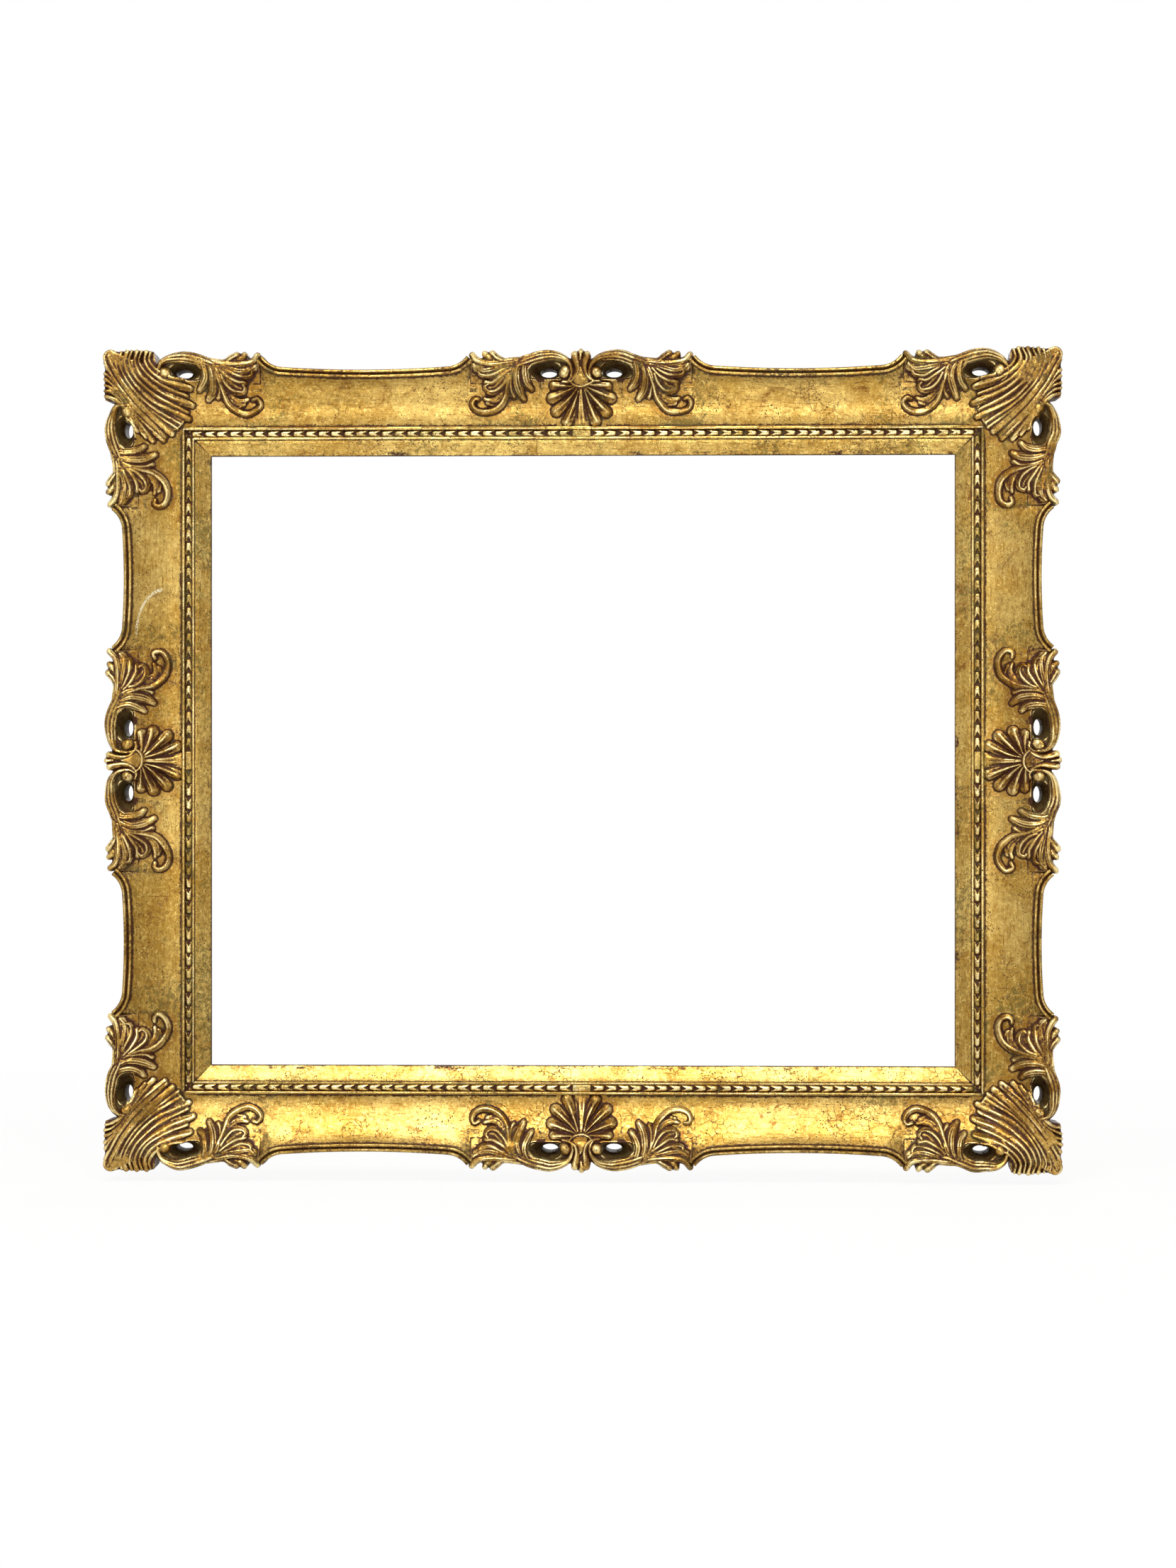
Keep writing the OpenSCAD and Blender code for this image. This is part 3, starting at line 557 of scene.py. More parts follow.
# Strands of the corner fan, from the outer edges: s from the side, t from the top,
# then their half width in the middle and their grooves
FAN = [
    ([(38.4, 2.2), (37.4, 9), (42.6, 16.4), (54.4, 22.2), (64.4, 24)], 1.4, 0),
    ([(34.8, 1.8), (33.4, 9.6), (39.4, 18.8), (52, 26.2), (69.2, 31.2)], 2.4, 2),
    ([(31.2, 1.6), (29.4, 10), (35.4, 20.8), (49.4, 30.6), (66.4, 36.4)], 1.5, 0),
    ([(27.2, 1.6), (25.2, 10.4), (31.6, 22.6), (46.6, 34.2), (70, 43.4)], 2.6, 2),
    ([(23.2, 1.6), (21.2, 10.8), (27.8, 24.2), (43.6, 38.4), (65.8, 49)], 1.6, 0),
    ([(19.2, 1.8), (17.2, 11.2), (23.8, 25.6), (39.8, 41.4), (66.8, 54.6)], 2.4, 2),
    ([(14.8, 2.2), (13.4, 11.2), (20.4, 26.4), (36.4, 43.8), (60.2, 58.8)], 1.5, 0),
    ([(10.4, 2.4), (9.6, 10.6), (17.2, 26.6), (33.4, 45), (58.4, 62.6)], 1.3, 0),
    ([(1.8, 18.6), (5.6, 24), (13, 34.4), (26.6, 52.8), (47.2, 71.4)], 2, 2),
    ([(1.7, 23.6), (6.2, 27.8), (14, 37), (24.8, 54), (38.4, 72.4)], 2.1, 2),
    ([(1.6, 28.4), (6.8, 31.6), (14.6, 39.6), (23.4, 54.2), (33, 69.6)], 1.7, 1),
    ([(1.6, 33), (7, 35), (14.4, 42), (21.4, 53.4), (26.8, 65.2)], 1.6, 1),
    ([(1.9, 37.4), (7.4, 38.8), (13.4, 43.4), (17.6, 49.6), (19.4, 55.6)], 1.5, 0),
]
# The broad bands and the body under them, laid before the strands, and their ground
FAN_BANDS = [
    ([(4.2, 5.4), (8.2, 14), (18, 29.8), (32.8, 47.6), (53.4, 66.2)],
     [2.4, 3.6, 4.6, 4.6, 2.6]),
    ([(2.2, 10.4), (5.6, 17), (13.4, 31), (27.4, 49.2), (47.8, 69.2)],
     [1.6, 2.4, 3.2, 3.6, 2.2]),
]
FAN_BODY = [(6, 6), (18, 20), (34, 36), (52, 52)]
FAN_GROUND = [(1, 1), (40, 1), (44, 24), (27, 27), (24, 44), (1, 40)]


def lay_spray(carving, place):
    """Lays a spray's strokes; place maps its x and v to the carving's x and y."""
    carving.ground([place(*p) for p in SPRAY_GROUND], 0.6, 0.3)
    for line, widths, lifts, section in SPRAY:
        carving.stroke([place(*p) for p in line], widths, lifts, **section)


def open_well(carving, place):
    """Opens a spray's hole, with the middles a little off as by hand."""
    off = carving.rng.normal(0, 0.5, 2)
    middles = place(WELL_X, WELL_V), place(HOLE_X + off[0], HOLE_V + off[1] * 0.3)
    angle = math.atan2(place(1, 0)[1] - place(0, 0)[1], place(1, 0)[0] - place(0, 0)[0])
    carving.well([place(*p) for p in WELL_OUTLINE], middles, angle)


def lay_shell(carving):
    """Lays the shell's ribs, the outer ones first and the middle one last."""
    root_v, spring_v = 54.6, 54.4
    for sense in (-1, 1):
        for x, v, w in SHELL_ENDS[:0:-1]:
            root = (sense * (1.0 + x * 0.12), root_v + (v - root_v) * 0.12)
            halfway = (sense * x * 0.5, spring_v + (v - spring_v) * 0.5)
            carving.stroke([root, halfway, (sense * x, v)], [1.2, w * 0.64, w * 0.94],
                           [4.6, 6.6, 5.6], edge=0.22, flutes=2, flute_depth=1.1, ridge=0.55,
                           lean=0.2 * sense)
    x, v, w = SHELL_ENDS[0]
    carving.stroke([(0, 54), (0, 40), (x, v)], [1.6, 3.8, w], [4.8, 5.4, 1.6], edge=0.35,
                   power=1.1, flutes=3, flute_depth=0.9)


def centre_carving(rng):
    """The strokes of one centre ornament."""
    carving = Carving(-CENTRE_END_U - 2, CENTRE_END_U + 2, 20, REACH + 2, rng)
    carving.ground(COLUMN_GROUND, 1.2)
    lay_shell(carving)
    for line, widths, lifts, section in COLUMN:
        carving.stroke(line, widths, lifts, **section)
    places = [lambda x, v, k=sense: (k * (CENTRE_BALL_U + x), v) for sense in (-1, 1)]
    for place in places:
        lay_spray(carving, place)
    for line, widths, lifts, section in COLUMN_STRAND:
        for sense in (1, -1):
            carving.stroke([(sense * x, v) for x, v in line], widths, lifts, **section)
    carving.join()
    for place in places:
        open_well(carving, place)
    return carving


def lay_fan(carving):
    """Lays a corner's fan: its ground, its body, its bands and then its strands."""
    carving.ground([(s - REACH + 0.6, REACH - t - 0.6) for s, t in FAN_GROUND], 1.0)

    def lay(line, widths, lifts, **section):
        carving.stroke([(s - REACH, REACH - t) for s, t in line], widths, lifts, **section)

    lay(FAN_BODY, [6, 16, 20, 12], [4.6, 4.2, 3.6, 2.6], edge=0.9, jitter=0)
    for line, widths in FAN_BANDS:
        lay(line, widths, [5.6, 6.2, 6.2, 5.6, 3.6], edge=0.5, flutes=3, flute_depth=0.35,
            power=1.2, lean=0.2)
    for line, wide, grooves in FAN:
        widths = [wide * share for share in (0.8, 1, 1.25, 1.45, 1.05)]
        lay(line, widths, [5.4, 5.8, 5.8, 5.2, 3.6], edge=0.45, flutes=grooves,
            flute_depth=0.8, lean=0.3)


def corner_carving(rng):
    """The strokes of one corner ornament, in the corner's own x and y."""
    low, high = -REACH - 2, CORNER_END_A + 2
    carving = Carving(low, high, -high, -low, rng)
    lay_fan(carving)
    places = [lambda x, v: (CORNER_BALL_A + x, v), lambda x, v: (-v, -CORNER_BALL_A - x)]
    for place in places:
        lay_spray(carving, place)
    carving.join()
    for place in places:
        open_well(carving, place)
    return carving


# The carving's top stays under this height, it is at least so thick, and so much wider
# than its strokes over the rails, where it runs down to the cove
CARVE_TOP, CARVE_THICK, APRON = 47.3, 0.2, 1.5
# How far the sides outside the rails lean in towards the back, as a share
LEAN_IN = 0.07
# Hollows with painted shade: blur in mm, depth at which they are darkest, and their share
HOLLOWS = [(1.6, 0.9, 1.0), (3.5, 2.2, 0.8), (0.9, 0.28, 0.9)]


def patches(carving, size):
    """Noise of unit spread over a carving, smoothed over size mm."""
    return smooth_noise(carving.lift.shape, size / GRID, carving.rng)


def carved_heights(carving, ground, softened):
    """The carving's top over the ground, uneven and filled with gesso in places."""
    lift = carving.lift
    filled = np.clip(patches(carving, 5.0) * 0.5 + 0.1, 0, 0.8) * unit((lift - 2) / 2)
    soft = blur(lift, 0.3 / GRID) * (1 - filled) + blur(lift, 1.2 / GRID) * filled
    # Gesso in the gaps lessens their painted crease shade.
    carving.crease = carving.crease * (1 - 0.8 * filled)
    wave = patches(carving, 2.0) * 0.14 + patches(carving, 4.5) * 0.3 * unit((lift - 2) / 3)
    top = ground + np.where(np.abs(lift) > 0.05, soft + wave * (np.abs(soft) > 0.5), 0.12)
    top = top + (softened - ground) * unit((lift - 1) / 2)
    return np.minimum(top, CARVE_TOP)


def carved_tones(carving, top, softened, outside):
    """Dark, wear and patina: painted shade darkens the flanks, recesses, creases and outlines,
    and the crests are rubbed, with painted highlights.
    """
    slope = np.hypot(*np.gradient(blur(top - softened, 0.5 / GRID), GRID))
    crest = unit((top - blur(top, 0.9 / GRID) - 0.06) / 0.26)
    edge = unit(1 - np.abs(carving.reach)) * (1 - outside)
    edge = edge * np.clip(0.4 + patches(carving, 3.0) * 0.3, 0, 0.8)
    wash = np.clip(patches(carving, 5.0) * 0.22, 0, 0.5)
    # Painted shade in the hollows, on the steep flanks, in the creases and along the outlines,
    # and a random wash.
    layers = [unit((blur(top, size / GRID) - top) / depth) * share
              for size, depth, share in HOLLOWS]
    layers += [unit((slope - 0.35) / 0.9) * 0.55, carving.crease * 0.9, edge]
    dark = np.maximum(np.maximum.reduce(layers), wash * (carving.reach > 0))
    dark = dark * unit(1.15 - crest)
    dark = unit(dark * np.where(carving.reach < 0, unit((carving.reach + 1.5) / 1.2), 1))
    # Rubbed crests, partly wear and partly painted highlight.
    wear_and_highlight = crest * (1 - dark) * np.clip(0.7 + patches(carving, 3.5) * 0.45, 0.15, 1)
    patina = np.maximum(unit(patches(carving, 6.0) * 0.4 + 0.1), carving.cavity * 0.75)
    return dark, wear_and_highlight, patina


def carve(name, carving, ground_v, gap, place, flip, node):
    """Turns a carving into a closed piece that stands for a CAD node."""
    ground = cove_h(stretched(ground_v, drawn_out(gap)))
    softened = blur(ground, 2.6 / GRID)
    outside = unit((ground_v - COVE_OUT + 0.6) / 1.2)
    # A hollow only goes down outside the rails.
    sunk = (carving.cavity > 0) & (ground_v < COVE_OUT + 0.5)
    carving.reach[sunk] = np.minimum(carving.reach, -0.3)[sunk]
    top = carved_heights(carving, ground, softened)
    inside = carving.reach + np.where(carving.cavity > 0, 0, APRON * (1 - outside))
    bottom = np.where(ground_v > COVE_OUT + 0.4, CARVE_BASE, ground - 1.2)
    bottom = np.minimum(bottom, top - CARVE_THICK)
    x, y, h, faces, read = relief(carving.xs, carving.ys, top, inside, bottom)
    if flip:
        faces = faces[:, ::-1]
    n = len(x) // 2
    tones = carved_tones(carving, top, softened, outside)
    # The underside takes a dark tone, so the walls down to the cove are painted shade.
    tone = np.vstack([np.stack([read(t) for t in tones], 1), np.tile([0.9, 0.0, 0.2], (n, 1))])
    lean = LEAN_IN * (np.arange(2 * n) >= n)
    x_past = np.minimum(x + COVE_OUT + 0.5, 0) if node.startswith("corner") else 0
    y_past = np.maximum(y - COVE_OUT - 0.5, 0)
    points = place(x - x_past * lean, y - y_past * lean, h)
    piece = make_piece(name, points, faces, tone, 55)
    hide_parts(node)
    return piece


# Rails

# Points across the cove, and sections out to the mitre
COVE_N, MITRE_STEPS = 26, 28
# Heights down a rail's outer wall behind the carving, from the cove to the back
WALL_H = np.array([40.0, 39.4, 38.6, 37, 34, 31, 27, 24, 21, 18, 15.6, 14.4, 7, BACK_H])
# The rim's two beads: places over its half width, and heights as a share of the bead
RIM_Q = np.array([-0.94, -0.78, -0.55, -0.35, -0.16, 0.02, 0.14, 0.30, 0.50, 0.72, 0.92, 1.0])
RIM_RISE = np.array([0.0, 0.62, 0.78, 0.66, 0.2, -0.35, -0.1, 0.66, 0.98, 0.9, 0.5, -0.2])
# What lies behind this height is bare wood
PLANK_FRONT = 14.0


def rail_section(x, more, rim=None, heading=0.0):
    """One section: the cove, its edge moved by more, then the rim or the wall."""
    v = np.linspace(COVE_IN, COVE_OUT, COVE_N)
    if rim is None:
        h = cove_h(stretched(v, more))
        wall_h = np.minimum(WALL_H, h[-1])
        wall_v, wall_x = np.full(len(wall_h), COVE_OUT), np.full(len(wall_h), x)
    else:
        h = cove_h(v)
        v = v + more * pull(v)
        wall_v = rim + np.cos(heading) * RIM_Q * RIM_HALF
        wall_x = x - np.sin(heading) * RIM_Q * RIM_HALF
        # The last points go down the rim's outside to the plank and round it.
        wall_h = np.concatenate([RIM_H + RIM_BEAD_H * RIM_RISE, [PLANK_T, BACK_H]])
        wall_v = np.concatenate([wall_v, [wall_v[-1], PLANK_W]])
        wall_x = np.concatenate([wall_x, [wall_x[-1], x]])
    return (np.concatenate([np.full(COVE_N, x), wall_x, np.full(3, x)]),
            np.concatenate([v, wall_v, [REBATE_W, REBATE_W, COVE_IN]]),
            np.concatenate([h, wall_h, [BACK_H, REBATE_D, REBATE_D]]))


def rail_rings(side):
    """Sections of a rail's right half, from its middle out to the mitre."""
    half = sweep_half(side)
    middle = CENTRE_END_U + half
    rings = [rail_section(x, drawn_out(CENTRE_END_U - abs(x)))
             for x in np.linspace(-CENTRE_END_U, CENTRE_END_U, 90)[45:]]
    rings += [rail_section(middle + x, v - np.cos(turn) * RIM_HALF * 0.97 - COVE_OUT, v, turn)
              for x, v, turn in zip(*sweep_line(side))]
    rings += [rail_section(x, drawn_out(x - middle - half))
              for x in np.linspace(middle + half, span(side) / 2, 26)]
    # Each point runs out to the mitre as far as its own v allows.
    _, v, h = rings[-1]
    return rings + [(span(side) / 2 + v * s, v, h) for s in np.linspace(0, 1, MITRE_STEPS)[1:]]


def rail_tones(side, x, v, rng):
    """Painted shade beside the bead, in the rim's groove and round the carving; rubbed rims with
    painted highlights.
    """
    dark, wear_and_highlight = np.zeros((2,) + x.shape)
    # Painted shade in the crease beside the bead.
    dark[:, 0], dark[:, 1] = 0.85, 0.35
    is_rim = v[:, COVE_N + 10] > COVE_OUT + 0.5
    # Painted shade in the rim's groove and where the cove meets the rim; darker down the rim's
    # outside and the wall behind the carving.
    dark[is_rim, COVE_N + 4:COVE_N + 7] = [0.55, 1.0, 0.6]
    dark[is_rim, COVE_N - 1:COVE_N + 1] = [0.8, 0.5]
    dark[is_rim, COVE_N + 11:] = 0.75
    dark[~is_rim, COVE_N - 2:] = 0.85
    # Rubbed bead tops, partly wear and partly painted highlight, and painted shade where the rim
    # is less rubbed.
    rubbed_highlight = unit(0.45 + smooth_noise((len(x), 1), 2.0, rng)[:, 0] * 0.5)[is_rim]
    wear_and_highlight[is_rim, COVE_N + 2] = 0.6 * rubbed_highlight
    wear_and_highlight[is_rim, COVE_N + 8] = 0.8 * rubbed_highlight
    dark[is_rim, COVE_N:COVE_N + 12] = np.maximum(
        dark[is_rim, COVE_N:COVE_N + 12], 0.3 * (1 - rubbed_highlight)[:, None])
    ends = CENTRE_END_U, span(side) / 2 - CORNER_END_A
    near = np.minimum(*[np.abs(np.abs(x) - end) for end in ends])
    beside = (np.abs(x) < ends[0]) | (np.abs(x) > ends[1])
    shade = np.where(beside, 1.0, np.exp(-near / 9.0)) * unit((v - 34) / 26) * 0.42
    dark[:, :COVE_N] = np.maximum(dark[:, :COVE_N], shade[:, :COVE_N])
    patina = unit(smooth_noise(x.shape, 6.0, rng) * 0.3 - 0.15
                  + np.where(near < 22, 0.3, 0.0) + 0.25 * PATINA_AND_SIDE_SHADE_SHARE[side])
    return dark, wear_and_highlight, patina


def leave_wood_bare(piece):
    """Gives the back and the plank's edges the piece's second material."""
    polygons = piece.data.polygons
    normals, centres = np.empty((2, len(polygons) * 3))
    polygons.foreach_get("normal", normals)
    polygons.foreach_get("center", centres)
    bare = (normals[1::3] > 0.5) | (-centres[1::3] / MM < PLANK_FRONT)
    polygons.foreach_set("material_index", bare.astype(np.int32))


def build_rail(side, rng):
    """One rail with its cove, sweeps and rims, as a closed loft between its mitres."""
    x, v, h = whole_rings(rail_rings(side))
    wave = smooth_noise(x.shape, 3.0, rng) * 0.05 + smooth_noise(x.shape, 9.0, rng) * 0.07
    soft = np.zeros(x.shape)
    soft[:, 1:COVE_N - 1] = np.sin(np.linspace(0, math.pi, COVE_N))[1:-1]
    h = h + wave * soft
    piece = make_loft("gilt_rail_", side, (x, v, h), rail_tones(side, x, v, rng), 38)
    leave_wood_bare(piece)
    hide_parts(SIDES[side] + "_rail")
    return piece


# Sight mouldings

# Section of the slope, the step and the bead, as v and h from the sight edge's back
MOULDING = np.array([
    (0, 12.0), (0, 16.2), (0.3, 16.8), (0.9, 17.2), (2.1, 17.9), (4.2, 19.1), (6.4, 20.5),
    (8.6, 21.8), (10.4, 22.5), (11.9, 22.9), (12.6, 22.9), (12.75, 24.0), (12.95, 24.5),
    (13.5, 24.6), (14.2, 24.6), (14.55, 24.4), (14.7, 23.9), (14.75, 23.4), (20.2, 23.4),
    (20.3, 24.2), (20.35, 26.2), (20.6, 26.8), (21.3, 27.0), (22.1, 26.95), (22.7, 26.5),
    (23.0, 25.6), (23.0, 12.0)])
# Tones of the section's points, by their number: painted shade in the grooves and on the faces at
# the edges, and wear with painted highlights on the step and the bead
MOULDING_DARK = {0: 0.9, 1: 0.7, 2: 0.35, 10: 0.8, 11: 0.5, 16: 0.7, 17: 1, 18: 1, 19: 0.8,
                 25: 0.5, 26: 0.9}
MOULDING_WEAR_AND_HIGHLIGHT = {3: 0.3, 13: 0.8, 14: 0.5, 22: 0.9}
MOULDING_STEP = 3.0


def build_moulding(side, rng):
    """The slope, step and bead of one side, lofted between its mitres."""
    v, h = MOULDING.T
    half = span(side) / 2
    right = [(np.full(len(v), x), v, h) for x in np.linspace(0, half, int(half / MOULDING_STEP))]
    steps = np.append(np.linspace(0, 1, 9)[1:-1], [0.91, 0.955, 1.0])
    x, v, h = whole_rings(right + [(half + v * s, v, h) for s in steps])
    shape = x.shape
    h = h + smooth_noise(shape, 2.0, rng) * 0.06 * np.where((v > 0.5) & (v < 22.5), 1, 0)
    dark, wear_and_highlight = np.zeros((2,) + shape)
    # Painted shade in the grooves and on the edge faces, then dark speckles near the sight edge,
    # then wear with painted highlights on the step and the bead.
    dark[:, list(MOULDING_DARK)] = list(MOULDING_DARK.values())
    dark[:, 1:5] += np.clip(smooth_noise((len(x), 4), 1.2, rng) * 0.3 - 0.1, 0, 0.5)
    wear_and_highlight[:, list(MOULDING_WEAR_AND_HIGHLIGHT)] = list(MOULDING_WEAR_AND_HIGHLIGHT.values())
    wear_and_highlight *= unit(0.6 + smooth_noise(shape, 3.0, rng) * 0.35)
    # The mitre shows as a dark line.
    dark[[0, 1, -2, -1], 2:] = 0.8
    patina = unit(smooth_noise(shape, 5.0, rng) * 0.35 + PATINA_AND_SIDE_SHADE_SHARE[side] * 0.8)
    patina[:, :2] = 0.8
    piece = make_loft("gilt_sight_moulding_", side, (x, v, h), (dark, wear_and_highlight, patina), 32)
    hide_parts(SIDES[side] + "_sight_moulding")
    return piece


# The row of leaf tips: spacing of its grid, heights of its underside and its ground,
# and its greatest rise. A leaf's half width and rise run along it, from base to tip.
LEAF_GRID = 0.45
ROW_UNDER_H, ROW_H, ROW_RISE = 22.6, 23.6, 2.6
LEAF_HALF = [0, 0.1, 0.4, 0.8, 1], [0.52, 0.54, 0.52, 0.46, 0.36]
LEAF_PROFILE = [0, 0.05, 0.1, 0.35, 0.9, 0.97, 1], [0, 0.2, 1.0, 1.1, 0.9, 0.6, 0.1]


def leaf_heights(reach, gx, gy, rng):
    """Heights of the row: leaf tips each way from a plain bar in the middle."""
    bar, mid = LEAF_BAR_L / 2, LEAF_W / 2
    pitch = (reach - bar) / int((reach - bar) / LEAF_PITCH)
    run = np.abs(gx) - bar
    leaf = np.floor(run / pitch)
    uneven = rng.normal(0, 0.05, 200)[np.clip(leaf, 0, 199).astype(int)]
    u = unit(run / pitch - leaf + uneven * 0.6)
    q = unit(np.abs(gy - mid) / (LEAF_W * np.interp(u, *LEAF_HALF)))
    notch = unit((0.82 * (1 - u / 0.5) - q) / 0.22)
    height = LEAF_RISE * np.interp(u, *LEAF_PROFILE) * (1 - q ** 3.0) * (1 - 0.9 * notch)
    flat = LEAF_RISE * 0.8 * unit((mid - np.abs(gy - mid)) / 0.6) ** 0.5
    flat *= unit((bar - 0.4 - np.abs(gx)) / 0.5)
    return np.where(run < 0, flat, height) + smooth_noise(gx.shape, 1.4, rng) * 0.08


def build_leaf_row(side, rng):
    """The row of pointed leaf tips that runs from the middle of a side to its mitres."""
    row_v = SLOPE_W + STEP_W
    reach = span(side) / 2 + row_v
    xs = np.arange(-reach - 2, reach + 2 + LEAF_GRID, LEAF_GRID)
    ys = np.arange(-0.5, LEAF_W + 0.5 + LEAF_GRID, LEAF_GRID)
    gx, gy = np.meshgrid(xs, ys, indexing="ij")
    height = leaf_heights(reach, gx, gy, rng)
    inside = np.minimum(np.minimum(gy + 0.12, LEAF_W + 0.1 - gy), reach + gy - np.abs(gx))
    x, y, h, faces, read = relief(xs, ys, ROW_H + np.clip(height, 0.0, ROW_RISE), inside,
                                  np.full(gx.shape, ROW_UNDER_H))
    # Painted shade in the low parts and the notches between the leaves, and painted highlights on
    # their high tips.
    dark = unit(1.0 - height / (LEAF_RISE * 0.5))
    wear_and_highlight = unit((height - LEAF_RISE * 0.66) / 0.5) * 0.8
    patina = unit(smooth_noise(gx.shape, 5.0 / LEAF_GRID, rng) * 0.3 + PATINA_AND_SIDE_SHADE_SHARE[side])
    tone = np.stack([read(dark), read(wear_and_highlight * (1 - patina)), read(patina)], 1)
    # The underside takes a dark tone, so the walls down to it are painted shade.
    tone = np.vstack([tone, np.tile([1.0, 0.0, 0.0], (len(tone), 1))])
    points = side_to_world(side)(x, y + row_v, h)
    piece = make_piece("leaf_tip_row_" + SIDES[side], points, faces, tone, 60)
    return piece


# Materials

class Nodes:
    """Short names for building the node tree of a material or world."""

    def __init__(self, owner):
        owner.use_nodes = True
        self.owner, self.tree = owner, owner.node_tree
        self.coords = self.colour = None

    def wire(self, node, inputs):
        """Sets or links a node's inputs, by name or number."""
        for key, value in inputs.items():
            if isinstance(value, bpy.types.NodeSocket):
                self.tree.links.new(value, node.inputs[key])
            elif value is not None:
                node.inputs[key].default_value = value

    def add(self, kind, inputs=None, **settings):
        """Adds a node, and returns its outputs."""
        node = self.tree.nodes.new("ShaderNode" + kind)
        for key, value in settings.items():
            setattr(node, key, value)
        self.wire(node, inputs or {})
        return node.outputs

    def noise(self, scale, detail=4.0, roughness=0.6, distortion=0.0, coords=None):
        return self.add("TexNoise", {
            "Vector": coords or self.coords, "Scale": scale, "Detail": detail,
            "Roughness": roughness, "Distortion": distortion})["Fac"]

    def cells(self, scale, feature="F1", coords=None):
        return self.add("TexVoronoi", {
            "Vector": coords or self.coords, "Scale": scale}, feature=feature)["Distance"]

    def math(self, operation, first, *others):
        """Joins values by one operation, from left to right."""
        for other in others or (None,):
            first = self.add("Math", {0: first, 1: other}, operation=operation)[0]
        return first

    def times(self, a, b):
        return self.math("MULTIPLY", a, b)

    def step(self, value, low, high, to_low=0.0, to_high=1.0):
        """Maps low..high of value smoothly to to_low..to_high."""
        return self.add("MapRange", {
            "Value": value, "From Min": low, "From Max": high, "To Min": to_low,
            "To Max": to_high}, interpolation_type="SMOOTHSTEP")["Result"]

    def ragged(self, mask, noise, low, high, by):
        """A mask with its edge broken up by noise."""
        return self.math("ADD", mask, self.step(noise, low, high, -by, by))

    def paint(self, mask, colour, under=None):
        """Lays a colour over the one under it, or over all so far."""
        under = srgb(under) if under else self.colour
        self.colour = self.add("Mix", {"Factor": mask, 6: under, 7: srgb(colour)},
                               data_type="RGBA")[2]

    def bump(self, height, distance, strength):
        return self.add("Bump", {
            "Height": height, "Distance": distance, "Strength": strength})["Normal"]

    def attribute(self, key):
        return self.add("Attribute", attribute_name=key)["Fac"]

    def tone(self):
        """The parts of the vertex colour: dark with painted shade, wear with painted highlights,
        and patina.
        """
        layer = self.add("VertexColor", layer_name="Tone")["Color"]
        split = self.add("SeparateColor", {"Color": layer})
        return split["Red"], split["Green"], split["Blue"]

    def mixed(self, share, first, second, output):
        """Mixes the outputs of two shaders and links them to the tree's own output."""
        mix = self.add("MixShader", {"Fac": share, 1: first[0], 2: second[0]})
        self.wire(self.tree.nodes[output], {"Surface": mix[0]})

    def finish(self, **inputs):
        """Sets the inputs of a material's shader, and returns the material."""
        inputs = {key.replace("_", " "): value for key, value in inputs.items()}
        self.wire(self.tree.nodes["Principled BSDF"], {"Base Color": self.colour, **inputs})
        return self.owner


def surface(name):
    """The nodes of a new material."""
    n = Nodes(bpy.data.materials.new(name))
    n.coords = n.add("TexCoord")["Object"]
    return n


def srgb(colour):
    """Turns 0 to 255 colour values into the linear ones that shaders use."""
    shares = [c / 255 for c in colour]
    return *[c / 12.92 if c <= 0.04045 else ((c + 0.055) / 1.055) ** 2.4 for c in shares], 1.0


# The glaze colour is the dark brown of glaze and of painted shade.
BOLE, GLAZE_AND_SHADE, PATINA = (104, 58, 20), (56, 20, 4), (92, 82, 42)
SPECK, CRACK, SEAM = (56, 30, 10), (88, 50, 18), (96, 52, 20)
SCRATCH, STAIN, RUST = (232, 220, 184), (74, 50, 30), (104, 52, 24)
# Layers of the leaf: the noise, from where to where it steps, its share before and
# after that, and the colour
LEAF_LAYERS = [
    ("blot", 0.48, 0.62, 0.0, 0.55, (160, 118, 42)),
    ("grain", 0.52, 0.62, 0.0, 0.45, (240, 208, 124)),
    ("grain", 0.34, 0.46, 0.6, 0.0, (112, 74, 20)),
    ("fine", 0.38, 0.48, 0.5, 0.0, (116, 78, 24))]
MARK_LAYERS = [
    ("marks", 0.36, 0.46, 0.75, 0.0, (116, 78, 22)),
    ("marks", 0.56, 0.66, 0.0, 0.35, (236, 208, 132))]
# One leaf of gold, in mm along a rail, and a whole number of leaves before its middle
LEAF_OF_GOLD, LEAVES_BEFORE = 73.0, 511.0
SCRATCH_MIDDLE, SCRATCH_REACH = (-0.337, 0.102), (0.021, 0.036)


def rub_marks(n):
    """Fine streaks that run along a rail, from burnishing and dusting."""
    place = n.add("CombineXYZ", {"X": n.times(n.attribute("Along"), 0.07),
                                 "Y": n.times(n.attribute("Across"), 0.75)})
    return n.noise(1.0, 6, 0.75, 0.6, place[0])


def lay_tones(n, noises, toning, rubbed_highlight):
    """Lays bole, glaze and painted shade, patina, and rubbing with painted highlights, and
    returns where the glaze and the painted shade are.
    """
    dark, wear_and_highlight, patina = n.tone()
    thin = n.step(n.noise(44, 6, 0.8, 1.0), 0.55, 0.64)
    thin = n.times(thin, n.step(noises["grain"], 0.42, 0.54))
    # The tone's dark part becomes glaze with painted shade, and its wear part rubbing with
    # painted highlights.
    glaze_and_shade = n.step(n.ragged(dark, n.noise(420, 4, 0.7), 0.35, 0.65, 0.22), 0.10, 0.62)
    green = n.ragged(patina, n.noise(260, 6, 0.75, 0.6), 0.38, 0.62, 0.5)
    rub_highlight = n.step(n.ragged(wear_and_highlight, noises["fine"], 0.35, 0.65, 0.25), 0.25, 0.85)
    n.paint(n.times(thin, toning), BOLE)
    n.paint(n.times(glaze_and_shade, 0.98), GLAZE_AND_SHADE)
    n.paint(n.times(n.step(green, 0.42, 0.74), 0.62), PATINA)
    n.paint(n.times(rub_highlight, 0.75), rubbed_highlight)
    return glaze_and_shade


